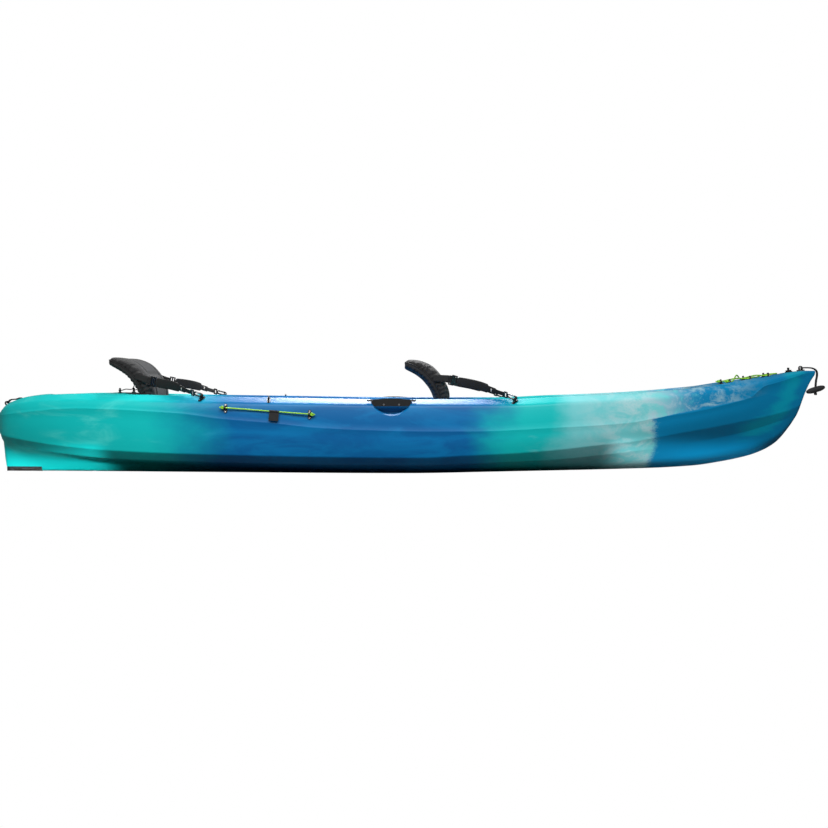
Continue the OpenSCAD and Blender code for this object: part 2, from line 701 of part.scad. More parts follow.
// Bow deck cord, laced across between three pairs of pad eyes
lace_run = 16;
lace_in = 2;
lace_high = 20;
lace_low = 5;
lace_under = -3;
lace_fore = 46;
function lace_eye(i, side, way) =
    let (place = bow_eye(i, side), h = eye_hole(place), run = way * lace_run * place[2],
        inward = [0, -side * lace_in, 0])
    [h - run + inward, h, h + run + inward];
function between(a, b, lift) = (a + b) / 2 + [0, 0, lift];
lace_turn_x = bow_eye_x[2] + lace_fore;
lace_points = let (
        a_s = lace_eye(0, -1, 1), b_p = lace_eye(1, 1, 1), c_s = lace_eye(2, -1, 1),
        c_p = lace_eye(2, 1, -1), b_s = lace_eye(1, -1, -1), a_p = lace_eye(0, 1, -1)
    )
    concat(
        a_s, [between(a_s[2], b_p[0], lace_high)],
        b_p, [between(b_p[2], c_s[0], lace_low)],
        c_s, [[lace_turn_x, 0, deck_z(lace_turn_x, 0) + eye_z]],
        c_p, [between(c_p[2], b_s[0], lace_under)],
        b_s, [between(b_s[2], a_p[0], lace_low)],
        a_p);
lace_steps = 2;
module bow_bungee() {
    route = smooth(lace_points, lace_steps);
    n = len(route);
    first_eye = bow_eye(0, -1);
    last_eye = bow_eye(0, 1);
    points = concat(
        [for (o = knot_outs) eye_hole(first_eye) - o * first_eye[2]],
        [for (i = [lace_steps:n - 1 - lace_steps]) route[i]],
        [for (o = turned(knot_outs)) eye_hole(last_eye) - o * last_eye[2]]);
    radii = bungee_r * concat(knot_bulges, even(n - 2 * lace_steps, 1), turned(knot_bulges));
    color("yellowgreen") cord(points, radii, [0, 0, 1]);
}
module bow_pad_eyes() { color("#18191b") eyes(bow_eyes); }
module bow_eye_screws() { color("silver") eye_screws(bow_eyes); }

// Toggles: a spindle grip on a loop of cord through an eye at each end of the hull
toggle_end_r = 7;
toggle_rings = 8;
toggle_bore_gap = 0.4;
strand_y = 7.5;
bow_grip_mid = [bow_x + 6, 0, bow_h - 84];
bow_grip_way = [92, 54, 22];
bow_knot_z = bow_h - 103;
stern_grip_x = toggle_well_x + 3;
stern_grip_lift = 2.5;
stern_grip_mid = [stern_grip_x, 0, toggle_well_floor + toggle_r + stern_grip_lift];
stern_knot_x = stern_grip_x + toggle_r + 8;
function spindle_r(t) = toggle_end_r + (toggle_r - toggle_end_r) * cos(90 * t * t);
module spindle() {
    half = toggle_l / 2;
    rotate_extrude($fn = 64)
        polygon(concat(
            [[0, -half]],
            [for (i = [-toggle_rings:toggle_rings]) [spindle_r(i / toggle_rings), half * i / toggle_rings]],
            [[0, half]]));
}
module bow_toggle_grip() {
    way = unit(bow_grip_way);
    color("dimgray")
    difference() {
        stand([bow_grip_mid, way, square_to([0, 0, 1], way)]) spindle();
        for (side = [-1, 1])
            translate(bow_grip_mid + [0, side * strand_y, -3 * toggle_r])
                cylinder(r = cord_r + toggle_bore_gap, h = 6 * toggle_r, $fn = 32);
    }
}
module stern_toggle_grip() {
    color("dimgray")
    difference() {
        translate(stern_grip_mid) rotate([90, 0, 0]) spindle();
        for (side = [-1, 1])
            translate(stern_grip_mid + [-3 * toggle_r, side * strand_y, 0]) rotate([0, 90, 0])
                cylinder(r = cord_r + toggle_bore_gap, h = 6 * toggle_r, $fn = 32);
    }
}
// One strand from its knot to the eye, as [along the hull, share of the strand's offset, height]
function lead(place, ahead_by, share_out) =
    let (p = eye_hole(place) - ahead_by * cross(place[1], place[2])) [p[0], share_out, p[2]];
function leads(place) = [for (r = [[24, 1], [10, 1.15], [2, 0.78]]) lead(place, r[0], r[1])];
cord_in_eye = eye_r - cord_r - 3 * seat_gap;
function in_eye(place) = eye_hole(place) - cord_in_eye * cross(place[1], place[2]);
toggle_knot_half = 6;
bow_strand = concat(
    [for (up = [-1, 0, 1]) [bow_grip_mid[0], 1, bow_knot_z + up * toggle_knot_half]],
    [for (p = [[6, -64], [8, -43], [12, -18], [8, 1], [-10, 12]]) [bow_x + p[0], 1, bow_h + p[1]]],
    leads(bow_toggle_place));
stern_strand = concat(
    [for (up = [1, 0, -1]) [stern_knot_x + up * toggle_knot_half, 1, stern_grip_mid[2]]],
    [[stern_grip_x - 16, 1, stern_grip_mid[2]]],
    [for (p = [[108, 56], [90, 67], [70, 62]]) [stern_x + p[0], 1, stern_h + p[1]]],
    leads(stern_toggle_place));
function looped(strand, hole) =
    concat(
        [for (p = strand) [p[0], -strand_y * p[1], p[2]]],
        [hole],
        [for (i = [len(strand) - 1:-1:0]) [strand[i][0], strand_y * strand[i][1], strand[i][2]]]);
toggle_knot = 1.8;
module toggle_cord(strand, hole, first) {
    points = looped(strand, hole);
    ends = [0.8, toggle_knot, 1];
    radii = cord_r * concat(ends, even(len(points) - 2 * len(ends), 1), turned(ends));
    cord(points, radii, first);
}
module bow_toggle_cord() { color("#141415") toggle_cord(bow_strand, in_eye(bow_toggle_place), [1, 0, 0]); }
module stern_toggle_cord() { color("#141415") toggle_cord(stern_strand, in_eye(stern_toggle_place), [0, 0, 1]); }
module bow_toggle_eye() { color("#18191b") eyes([bow_toggle_place]); }
module stern_toggle_eye() { color("#18191b") eyes([stern_toggle_place]); }
module toggle_eye_screws() { color("silver") eye_screws([bow_toggle_place, stern_toggle_place]); }

// Seats. A back is a curved panel: straight at its foot, then bent back on an arc. Places on it are given by
// the length along the panel, the share of its half width and the height off its middle surface.
fold_rise = 34;
back_straight = 66;
back_bend_r = 220;
back_l = 350;
back_wrap = 6;
back_corner = 46;
function front_fold() = [front_seat_x, 0, front_pan + fold_rise];
function rear_fold() = [rear_seat_x, 0, rear_pan + fold_rise];
function back_turn(s) = max(0, (s - back_straight) / back_bend_r) * 180 / PI;
function back_curve(s) =
    let (a = back_turn(s))
    [-back_bend_r * (1 - cos(a)), min(s, back_straight) + back_bend_r * sin(a)];
function corner_in(d, r) = d >= r ? 0 : r - sqrt(r * r - (r - d) * (r - d));
function back_half_at(s) =
    back_foot_half + (back_half - back_foot_half) * ease(s / (0.62 * back_l))
    - corner_in(max(back_l - s, 1), back_corner) - corner_in(max(s, 1), back_corner / 2);
function back_point(fold, s, v, h) =
    let (a = back_turn(s), c = back_curve(s), out = h + back_wrap * v * v)
    fold + [c[0] + out * cos(a), v * back_half_at(s), c[1] + out * sin(a)];
// Drawn-in edges and two sewn channels
edge_share = 0.25;
seam_at = 0.56;
seam_half = 0.1;
seam_depth = 9;
function puffed(v) = sqrt(sqrt(max(0, 1 - pow(abs(v), 4))));
function seam(v) = seam_depth * (1 - ease(abs(abs(v) - seam_at) / seam_half));
pad_foot = 30;
pad_swell_l = 130;
top_thin = 0.5;
function cushion_h(s, v) =
    let (
        foot = ease((s - pad_foot) / pad_swell_l),
        head = ease((back_l - s) / 110),
        full = back_pad_t * (0.3 + 0.7 * foot) * (top_thin + (1 - top_thin) * head)
    )
    full * (edge_share + (1 - edge_share) * puffed(v)) - seam(v) * foot * head;
function board_h(s, v) =
    let (ends = min(puffed(1 - clamp(s / 40, 0, 1)), puffed(1 - clamp((back_l - s) / 40, 0, 1))))
    back_board_t * (0.35 + 0.65 * ends * puffed(v));
back_across = [-1, -0.95, -0.84, -0.7, -0.56, -0.42, -0.2, 0, 0.2, 0.42, 0.56, 0.7, 0.84, 0.95, 1];
back_rows = 13;
cushion_gap = 0.2;
function board_rows() = [for (i = [0:back_rows]) back_l * i / back_rows];
function cushion_rows() = [for (i = [1:back_rows]) back_l * i / back_rows];
function back_ring(fold, s, front, rear) =
    concat(
        [for (i = [0:len(back_across) - 1]) back_point(fold, s, back_across[i], front[i])],
        [for (i = [len(back_across) - 1:-1:0]) back_point(fold, s, back_across[i], rear[i])]);
module seat_back_cushion(fold) {
    rear = even(len(back_across), cushion_gap);
    rings = [
        for (s = cushion_rows()) back_ring(fold, s, [for (v = back_across) cushion_gap + cushion_h(s, v)], rear)];
    loft(rings, mean(rings[0]), mean(rings[len(rings) - 1]));
}
module seat_back_board(fold) {
    rings = [
        for (s = board_rows())
            back_ring(fold, s, even(len(back_across), 0), [for (v = back_across) -board_h(s, v)])];
    loft(rings, mean(rings[0]), mean(rings[len(rings) - 1]));
}

// Seat pads on the pans, crowned, with drawn-in sides and two channels
pad_ahead = 58;
pad_rows = [0, 0.03, 0.1, 0.22, 0.36, 0.5, 0.64, 0.78, 0.9, 0.97, 1];
pad_across = [-1, -0.96, -0.84, -0.66, -0.56, -0.46, -0.22, 0, 0.22, 0.46, 0.56, 0.66, 0.84, 0.96, 1];
pad_waist = 10;
function pad_half_at(t) = pad_half - pad_waist * (1 - pow(2 * t - 1, 2)) - 16 * pow(abs(2 * t - 1), 8);
function pad_h(t, v) =
    pad_t * (0.3 + 0.7 * puffed(v) * puffed(2 * t - 1)) - 0.6 * seam(v) * puffed(2 * t - 1);
// A cloth hinge from the pad's aft edge up to the foot of the back
hinge_half = 176;
hinge_t = 4;
hinge_points = [[-2.2, -0.5], [-1.4, -8.5], [12, -15], [32, -21], [pad_ahead - 0.5, -26]];
module seat_hinge(fold) {
    points = [for (p = hinge_points) fold + [p[0], 0, p[1]]];
    strap(points, even(len(points), 2 * hinge_half), even(len(points), hinge_t), even(len(points), [0, 1, 0]));
}
module seat_pad(fold, pan) {
    rings = [
        for (t = pad_rows)
            let (x = fold[0] + pad_ahead + pad_l * t, w = pad_half_at(t))
            concat(
                [for (v = pad_across) [x, v * w, pan + seat_gap + pad_h(t, v)]],
                [for (v = turned(pad_across)) [x, v * w, pan + seat_gap]])];
    loft([for (i = [len(rings) - 1:-1:0]) rings[i]], mean(rings[len(rings) - 1]), mean(rings[0]));
}

// Side straps: a sewn tab and a ladder buckle on the back, then a padded strap to a snap hook on its pad eye
buckle_l = 26;
buckle_h = 44;
buckle_t = 6;
buckle_bar = 5;
meet_gap = 0.4;
tab_web_w = 30;
tab_web_t = 3;
tab_foot = [-36, 216];
tab_lead = 20;
tab_end = 4;
hook_l = 30;
hook_t = 6;
hook_r = 10;
hook_in_r = 5.5;
hook_z = eye_z + 7.75;
hook_tail_l = 16;
hook_tail_h = 28;
hook_bar = 4.5;
gate_from = 4;
gate_to = 24.5;
gate_pin_x = 27;
gate_pin_r = 0.8;
gate_gap = 0.4;
gate_swing_gap = 1.2;
fork_half = 1.3;
fork_to = 31;
tongue_half = 1.1;
hook_end = hook_l + hook_r - 1 + hook_tail_l;
web_t = 3;
function strap_ends(place, buckle) =
    let (
        tail = local(place, [hook_end, 0, seat_gap + hook_z]),
        d = unit(tail - buckle),
        up = square_to(place[1], d),
        slant = abs(up * place[2]) * web_w / 2 + abs(cross(d, up) * place[2]) * web_t / 2
    )
    [buckle + (buckle_l / 2 + meet_gap) * d, tail - (meet_gap + slant) / abs(d * place[2]) * d];
strap_arch = 6;
strap_t = 9;
keeper_w = 27;
// Along each strap: share of its length, width and thickness
strap_steps = [
    [0, web_w, web_t], [0.03, web_w, web_t], [0.1, sleeve_w - 4, strap_t], [0.3, sleeve_w, strap_t],
    [0.5, sleeve_w, strap_t], [0.63, sleeve_w - 3, strap_t], [0.66, sleeve_w - 5, strap_t - 1],
    [0.68, keeper_w, strap_t - 2], [0.8, keeper_w, strap_t - 2], [0.83, keeper_w - 1, strap_t - 3],
    [0.86, web_w, web_t], [0.97, web_w, web_t], [1, web_w, web_t]];
module side_strap(place, buckle) {
    ends = strap_ends(place, buckle);
    shares = [for (s = strap_steps) s[0]];
    points = [
        for (t = shares) ends[0] + t * (ends[1] - ends[0]) + [0, 0, 16 * strap_arch * pow(t * (1 - t), 2)]];
    ups = [for (t = shares) (1 - t) * [0, 0, 1] + t * place[1]];
    strap(points, [for (s = strap_steps) s[1]], [for (s = strap_steps) s[2]], ups);
}
module seat_buckle(place, buckle) {
    ends = strap_ends(place, buckle);
    d = unit(ends[1] - ends[0]);
    up = square_to([0, 0, 1], d);
    stand([buckle, up, d]) difference() {
        cube([buckle_l, buckle_t, buckle_h], center = true);
        for (end = [-1, 1])
            translate([end * (buckle_l / 4 - buckle_bar / 4), 0, 0])
                cube([buckle_l / 2 - 1.5 * buckle_bar, 2 * buckle_t, buckle_h - 2 * buckle_bar], center = true);
    }
}
module seat_tab(fold, place, buckle, side) {
    ends = strap_ends(place, buckle);
    d = unit(ends[1] - ends[0]);
    foot = fold + [tab_foot[0], side * (back_half + tab_web_t / 2 + meet_gap), tab_foot[1]];
    tip = buckle - (buckle_l / 2 + meet_gap) * d;
    bend = tip - tab_lead * d;
    points = [foot, [bend[0], side * max(abs(bend[1]), abs(foot[1])), bend[2]], tip - tab_end * d, tip];
    strap(points, even(4, tab_web_w), even(4, tab_web_t), even(4, [0, 0, 1]));
}
module across(x, z, r, t) {
    translate([x, 0, z]) rotate([90, 0, 0]) cylinder(r = r, h = t, center = true, $fn = 48);
}
module snap_hook(place) {
    gate_z = hook_z + (hook_r + hook_in_r) / 2;
    stand(place, seat_gap) {
        difference() {
            union() {
                across(0, hook_z, hook_r, hook_t);
                across(hook_l, hook_z, hook_r, hook_t);
                translate([0, -hook_t / 2, hook_z - hook_r]) cube([hook_l, hook_t, 2 * hook_r]);
                translate([hook_l + hook_r - 1, -hook_t / 2, hook_z - hook_tail_h / 2])
                    cube([hook_tail_l, hook_t, hook_tail_h]);
            }
            across(0, hook_z, hook_in_r, 2 * hook_t);
            across(hook_l, hook_z, hook_in_r, 2 * hook_t);
            translate([0, -hook_t, hook_z - hook_in_r]) cube([hook_l, 2 * hook_t, 2 * hook_in_r]);
            translate([gate_from, -hook_t, hook_z]) cube([gate_to - gate_from, 2 * hook_t, 2 * hook_r]);
            translate([gate_to - 1, -fork_half, hook_z]) cube([fork_to - gate_to + 1, 2 * fork_half, 2 * hook_r]);
            translate([hook_l + hook_r - 1 + hook_bar, -hook_t, hook_z - hook_tail_h / 2 + hook_bar])
                cube([hook_tail_l - 2 * hook_bar, 2 * hook_t, hook_tail_h - 2 * hook_bar]);
        }
        across(gate_pin_x, gate_z, gate_pin_r, hook_t);
    }
}
module hook_gate(place) {
    gate_z = hook_z + (hook_r + hook_in_r) / 2;
    gate_h = hook_r - hook_in_r - gate_gap / 2;
    stand(place, seat_gap) difference() {
        union() {
            translate([gate_from + gate_gap, -hook_t / 2, gate_z - gate_h / 2])
                cube([gate_to - gate_from - gate_gap - gate_swing_gap, hook_t, gate_h]);
            translate([gate_to - 2, -tongue_half, gate_z - gate_h / 2])
                cube([gate_pin_x - gate_to + 2, 2 * tongue_half, gate_h]);
            across(gate_pin_x, gate_z, gate_h / 2, 2 * tongue_half);
        }
        across(gate_pin_x, gate_z, gate_pin_r + pin_gap, 2 * hook_t);
    }
}
cloth = "#333438";
webbing = "#161617";
module front_seat_pad() { color(cloth) seat_pad(front_fold(), front_pan); }
module rear_seat_pad() { color(cloth) seat_pad(rear_fold(), rear_pan); }
module front_seat_hinge() { color(cloth) seat_hinge(front_fold()); }
module rear_seat_hinge() { color(cloth) seat_hinge(rear_fold()); }
module front_seat_back_cushion() { color(cloth) seat_back_cushion(front_fold()); }
module rear_seat_back_cushion() { color(cloth) seat_back_cushion(rear_fold()); }
module front_seat_back_board() { color(cloth) seat_back_board(front_fold()); }
module rear_seat_back_board() { color(cloth) seat_back_board(rear_fold()); }
module front_seat_tabs() {
    color(webbing) for (side = [-1, 1]) seat_tab(front_fold(), front_eye(side), front_buckle(side), side);
}
module rear_seat_tabs() {
    color(webbing) for (side = [-1, 1]) seat_tab(rear_fold(), rear_eye(side), rear_buckle(side), side);
}
module front_seat_buckles() {
    color("#101011") for (side = [-1, 1]) seat_buckle(front_eye(side), front_buckle(side));
}
module rear_seat_buckles() {
    color("#101011") for (side = [-1, 1]) seat_buckle(rear_eye(side), rear_buckle(side));
}
module front_starboard_strap() { color(webbing) side_strap(front_eye(-1), front_buckle(-1)); }
module front_port_strap() { color(webbing) side_strap(front_eye(1), front_buckle(1)); }
module rear_starboard_strap() { color(webbing) side_strap(rear_eye(-1), rear_buckle(-1)); }
module rear_port_strap() { color(webbing) side_strap(rear_eye(1), rear_buckle(1)); }
module front_starboard_hook() { color("silver") snap_hook(front_eye(-1)); }
module front_port_hook() { color("silver") snap_hook(front_eye(1)); }
module rear_starboard_hook() { color("silver") snap_hook(rear_eye(-1)); }
module rear_port_hook() { color("silver") snap_hook(rear_eye(1)); }
module front_starboard_gate() { color("silver") hook_gate(front_eye(-1)); }
module front_port_gate() { color("silver") hook_gate(front_eye(1)); }
module rear_starboard_gate() { color("silver") hook_gate(rear_eye(-1)); }
module rear_port_gate() { color("silver") hook_gate(rear_eye(1)); }

// Thin tether cords from the rear seat's back to eyes on the ridge behind it
tether_r = 2;
tether_s = 200;
tether_v = 0.62;
tether_bulge = [-12, 0, -22];
module rear_tethers() {
    color("#141415")
    for (side = [-1, 1]) {
        behind = -board_h(tether_s, tether_v) - tether_r + seat_gap;
        from = back_point(rear_fold(), tether_s, side * tether_v, behind);
        to = eye_hole(tether_eyes[side < 0 ? 0 : 1]);
        points = smooth([from, from + tether_bulge, to + [26, 0, 5], to + [8, 0, 0], to - [eye_fin_t, 0, 0]], 3);
        cord(points, even(len(points), tether_r), [0, 1, 0]);
    }
}
module tether_eyes() { color("#18191b") eyes(tether_eyes); }
module tether_eye_screws() { color("silver") eye_screws(tether_eyes); }

hull();
skid_plate();
skid_plate_screws();
drain_fitting();
drain_plug_seal();
drain_plug();
starboard_handle_grip();
port_handle_grip();
starboard_handle_pins();
port_handle_pins();
starboard_grip_rivets();
port_grip_rivets();
starboard_keeper_bungee();
port_keeper_bungee();
starboard_keeper_tab();
port_keeper_tab();
keeper_pad_eyes();
keeper_eye_screws();
seat_pad_eyes();
seat_eye_screws();
centre_pad_eyes();
centre_eye_screws();
bow_bungee();
bow_pad_eyes();
bow_eye_screws();
bow_toggle_grip();
bow_toggle_cord();
bow_toggle_eye();
stern_toggle_grip();
stern_toggle_cord();
stern_toggle_eye();
toggle_eye_screws();
front_seat_pad();
front_seat_hinge();
front_seat_back_cushion();
front_seat_back_board();
front_seat_tabs();
front_seat_buckles();
front_starboard_strap();
front_port_strap();
front_starboard_hook();
front_port_hook();
front_starboard_gate();
front_port_gate();
rear_seat_pad();
rear_seat_hinge();
rear_seat_back_cushion();
rear_seat_back_board();
rear_seat_tabs();
rear_seat_buckles();
rear_starboard_strap();
rear_port_strap();
rear_starboard_hook();
rear_port_hook();
rear_starboard_gate();
rear_port_gate();
rear_tethers();
tether_eyes();
tether_eye_screws();
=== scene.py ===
"""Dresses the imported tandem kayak: hull skin, seats, straps, cords, fittings, stage and camera."""
import json
import math

import bmesh
import bpy
from mathutils import Matrix, Vector, noise


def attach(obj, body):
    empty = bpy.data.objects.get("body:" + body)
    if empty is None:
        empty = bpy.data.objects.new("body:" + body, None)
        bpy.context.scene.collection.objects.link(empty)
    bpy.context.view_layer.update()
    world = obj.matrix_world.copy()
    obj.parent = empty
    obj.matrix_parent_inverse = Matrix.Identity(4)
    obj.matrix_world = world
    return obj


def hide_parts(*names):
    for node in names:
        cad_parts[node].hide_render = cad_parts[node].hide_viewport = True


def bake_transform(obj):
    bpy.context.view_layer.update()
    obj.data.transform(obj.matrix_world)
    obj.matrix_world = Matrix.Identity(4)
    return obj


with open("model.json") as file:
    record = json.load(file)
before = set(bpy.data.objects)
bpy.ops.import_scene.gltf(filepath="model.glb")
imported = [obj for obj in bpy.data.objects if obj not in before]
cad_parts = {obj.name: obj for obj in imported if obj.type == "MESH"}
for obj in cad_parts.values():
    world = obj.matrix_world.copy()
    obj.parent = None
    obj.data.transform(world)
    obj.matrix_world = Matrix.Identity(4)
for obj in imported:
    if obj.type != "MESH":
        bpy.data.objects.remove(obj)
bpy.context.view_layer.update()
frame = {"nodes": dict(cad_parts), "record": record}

bl_info = {
    "name": "Tandem kayak",
    "version": (1, 0, 0),
    "blender": (4, 5, 0),
    "location": "3D View > Sidebar > Kayak",
    "description": "Dresses the packed kayak with its hull skin, seats, straps, cords and materials",
    "category": "Object",
}

MM = 0.001
SIDES = {"starboard": -1, "port": 1}
SEATS = ("front", "rear")


# Small helpers

def clamp(v, low, high):
    return max(low, min(high, v))


def ease(t):
    c = clamp(t, 0.0, 1.0)
    return c * c * (3 - 2 * c)


def along(line, s):
    """A smooth curve through [share, value] pairs that never overshoots them."""
    i = 0
    while i < len(line) - 2 and s >= line[i + 1][0]:
        i += 1

    def rise(k):
        return (line[k + 1][1] - line[k][1]) / (line[k + 1][0] - line[k][0])

    def slope(k):
        if k == 0:
            return rise(0)
        if k == len(line) - 1:
            return rise(k - 1)
        a, b = rise(k - 1), rise(k)
        return 0.0 if a * b <= 0 else 2 * a * b / (a + b)

    width = line[i + 1][0] - line[i][0]
    t = clamp((s - line[i][0]) / width, 0.0, 1.0)
    a, b = slope(i) * width, slope(i + 1) * width
    p, q = line[i][1], line[i + 1][1]
    return p + t * (a + t * (3 * (q - p) - 2 * a - b + t * (2 * (p - q) + a + b)))


def mesh_object(name, points, faces, material):
    """A mesh from points in millimetres."""
    mesh = bpy.data.meshes.new(name)
    mesh.from_pydata([Vector(p) * MM for p in points], [], faces)
    mesh.update()
    mesh.shade_smooth()
    piece = bpy.data.objects.new(name, mesh)
    bpy.context.scene.collection.objects.link(piece)
    mesh.materials.append(material)
    return piece


def loft_faces(rows, around):
    """Quads over rows of points, each row a closed ring, with an n-gon at either end."""
    faces = []
    for i in range(rows - 1):
        for j in range(around):
            k = (j + 1) % around
            faces.append((i * around + j, i * around + k, (i + 1) * around + k, (i + 1) * around + j))
    faces.append(tuple(range(around - 1, -1, -1)))
    faces.append(tuple((rows - 1) * around + j for j in range(around)))
    return faces


def face_out(piece):
    """Turns every face of a closed piece outward."""
    work = bmesh.new()
    work.from_mesh(piece.data)
    bmesh.ops.recalc_face_normals(work, faces=work.faces)
    work.to_mesh(piece.data)
    work.free()


def apply_modifiers(piece):
    """Keeps what a piece's modifiers make and drops the modifiers."""
    graph = bpy.context.evaluated_depsgraph_get()
    made = bpy.data.meshes.new_from_object(piece.evaluated_get(graph))
    piece.modifiers.clear()
    piece.data = made


def unit(v):
    return Vector(v).normalized()


def square_to(v, d):
    v = Vector(v)
    return (v - v.dot(d) * d).normalized()


# The hull's lines, as in the CAD part: half widths are shares of the half beam, heights are millimetres

HULL_L = 3660.0
BEAM = 860.0
MID_H, CROWN_H, STERN_H, BOW_H = 325.0, 347.0, 259.0, 448.0
BEVEL_W, BEVEL_H, PANEL_LEAN, LEDGE = 42.0, 25.0, 12.0, 26.0
DECK_FLOOR, FRONT_PAN, REAR_PAN, PAN_HALF = 235.0, 165.0, 175.0, 262.0
FOOT_FLOOR, DISH_FLOOR, TANK_FLOOR = 108.0, 206.0, 232.0
FRONT_SEAT_X, REAR_SEAT_X = 148.0, -1142.0
PLAN = [
    (0, 0.075), (0.008, 0.2), (0.02, 0.31), (0.05, 0.47), (0.1, 0.635), (0.2, 0.82), (0.35, 0.965), (0.5, 1),
    (0.6, 0.977), (0.7, 0.884), (0.8, 0.7), (0.9, 0.42), (0.96, 0.19), (0.985, 0.085), (1, 0.03)]
KEEL = [
    (0, 165), (0.004, 150), (0.0065, 60), (0.0095, 0), (0.5, 0), (0.6, 5), (0.72, 11), (0.8, 16), (0.85, 25),
    (0.88, 40), (0.915, 66), (0.934, 90), (0.951, 126), (0.969, 201), (0.977, 250), (0.987, 345),
    (0.994, 398), (1, 430)]
RIM = [
    (0, STERN_H), (0.0135, STERN_H + 41), (0.043, CROWN_H - 15), (0.073, CROWN_H - 5), (0.117, CROWN_H),
    (0.159, CROWN_H - 2), (0.264, MID_H + 12), (0.368, MID_H + 6), (0.49, MID_H), (0.614, MID_H),
    (0.678, MID_H + 10), (0.737, MID_H + 18), (0.796, BOW_H - 92), (0.855, BOW_H - 71), (0.899, BOW_H - 45),
    (0.943, BOW_H - 23), (0.973, BOW_H - 5), (0.988, BOW_H), (1, BOW_H)]
CREASE = [
    (0, 250), (0.114, 285), (0.232, 266), (0.287, 242), (0.341, 226), (0.395, 206), (0.449, 196), (0.53, 190),
    (0.57, 190), (0.677, 206), (0.761, 225), (0.79, 243), (0.844, 273), (0.89, 309), (0.909, 328),
    (0.934, 391), (0.96, 425), (1, 440)]
CHINE_TOP = [
    (0, 166), (0.048, 140), (0.097, 120), (0.147, 106), (0.257, 92), (0.515, 79), (0.568, 88), (0.622, 97),
    (0.677, 112), (0.713, 126), (0.761, 143), (0.817, 175), (0.9, 225), (0.977, 290), (1, 436)]
CHINE_LOW = [
    (0, 150), (0.04, 112), (0.089, 87), (0.147, 69), (0.257, 58), (0.515, 45), (0.568, 51), (0.622, 59),
    (0.677, 68), (0.713, 80), (0.761, 98), (0.817, 125), (0.862, 148), (0.898, 171), (0.934, 204),
    (0.977, 262), (1, 432)]
KEEL_HALF = [
    (0, 8), (0.0095, 24), (0.06, 38), (0.25, 120), (0.5, 200), (0.7, 140), (0.85, 50), (0.95, 18), (1, 5)]
ROOT_OUT = [(0, 0.3), (0.1, 0.25), (0.3, 0.45), (0.7, 0.5), (0.86, 0.66), (1, 0.7)]
ROOT_UP = [(0, 0.75), (0.1, 0.75), (0.3, 0.5), (0.5, 0.38), (0.7, 0.38), (0.86, 0.3), (1, 0.3)]
CROWN = [(0, 6), (0.84, 6), (0.87, -28), (0.948, -28), (0.9615, 6), (1, 6)]
# Bevel, lean and crown fade out where the hull gets narrower than this
FADE_HALF, FADE_LEAST, BEVEL_SHARE = 200.0, 0.12, 0.34
# Corners of a section stay at least this share of its height apart
LEAST_STEP = 0.06
CHINE_TOP_IN, CHINE_LOW_IN, PANEL_SWELL = 15.0, 55.0, 5.0
WIDE = 1000.0


def share(x):
    return x / HULL_L + 0.5


def rim_z(x):
    return along(RIM, share(x))


def half_width(x):
    return BEAM / 2 * along(PLAN, share(x))


def fade(x):
    return clamp(half_width(x) / FADE_HALF, FADE_LEAST, 1.0)


def inner_half(x):
    b = half_width(x)
    return b - PANEL_LEAN * fade(x) - min(BEVEL_W, BEVEL_SHARE * b)


# Wells in the deck: aft end, fore end, end slope, inner half width, outer half width, side slope, floor

TOGGLE_WELL_X = -1695.0
TOGGLE_WELL_FLOOR = rim_z(TOGGLE_WELL_X) - 34
COCKPIT_AFT, COCKPIT_FORE = REAR_SEAT_X - 73, 1275.0
PAN_L, PAN_BEHIND = 536.0, 90.0
WELLS = [
    (TOGGLE_WELL_X - 50, TOGGLE_WELL_X + 55, 28, 0, 76, 14, TOGGLE_WELL_FLOOR),
    (-1615, COCKPIT_AFT - 90, 60, 0, WIDE, 50, TANK_FLOOR),
    (COCKPIT_AFT, COCKPIT_FORE, 60, 0, WIDE, 48, DECK_FLOOR),
    (REAR_SEAT_X - PAN_BEHIND, REAR_SEAT_X - PAN_BEHIND + PAN_L, 55, 0, PAN_HALF, 45, REAR_PAN),
    (-660, -55, 70, 160, 312, 40, FOOT_FLOOR),
    (-500, -110, 80, 0, 152, 50, DISH_FLOOR),
    (FRONT_SEAT_X - PAN_BEHIND, FRONT_SEAT_X - PAN_BEHIND + PAN_L, 55, 0, PAN_HALF, 45, FRONT_PAN),
    (610, 1235, 80, 36, 250, 40, FOOT_FLOOR)]
# Foot rungs moulded across the floors of the foot wells: first, last, spacing, inner and outer half width
RUNGS = [(790, 1120, 66, 80, 200), (-560, -190, 74, 205, 270)]
RUNG_H, RUNG_HALF = 7.0, 13.0


def in_well(well, x, y, outer):
    aft, fore, end, inner, far, side, _ = well
    depth = ease((x - aft) / end) * ease((fore - x) / end) * ease((min(far, outer) - y) / side)
    return depth * ease((y - inner) / side) if inner > 0 else depth


def rung(x, y):
    """Height of the foot rungs over a well's floor."""
    for first, last, step, inner, outer in RUNGS:
        if first - RUNG_HALF <= x <= last + RUNG_HALF and inner - 20 < y < outer + 20:
            off = abs((x - first + step / 2) % step - step / 2)
            across = ease((y - inner + 10) / 20) * ease((outer + 10 - y) / 20)
            return RUNG_H * (1 - ease(off / RUNG_HALF)) * across
    return 0.0


def deck_z(x, y):
    """Height of the deck at a place on it."""
    y = abs(y)
    r = inner_half(x)
    crown = along(CROWN, share(x)) * fade(x)
    out = min(y / r, 1)
    z = rim_z(x) + crown * (1 - (out if crown < 0 else out * out))
    outer = r - LEDGE * fade(x)
    for well in WELLS:
        z += (well[6] - z) * in_well(well, x, y, outer)
    return z


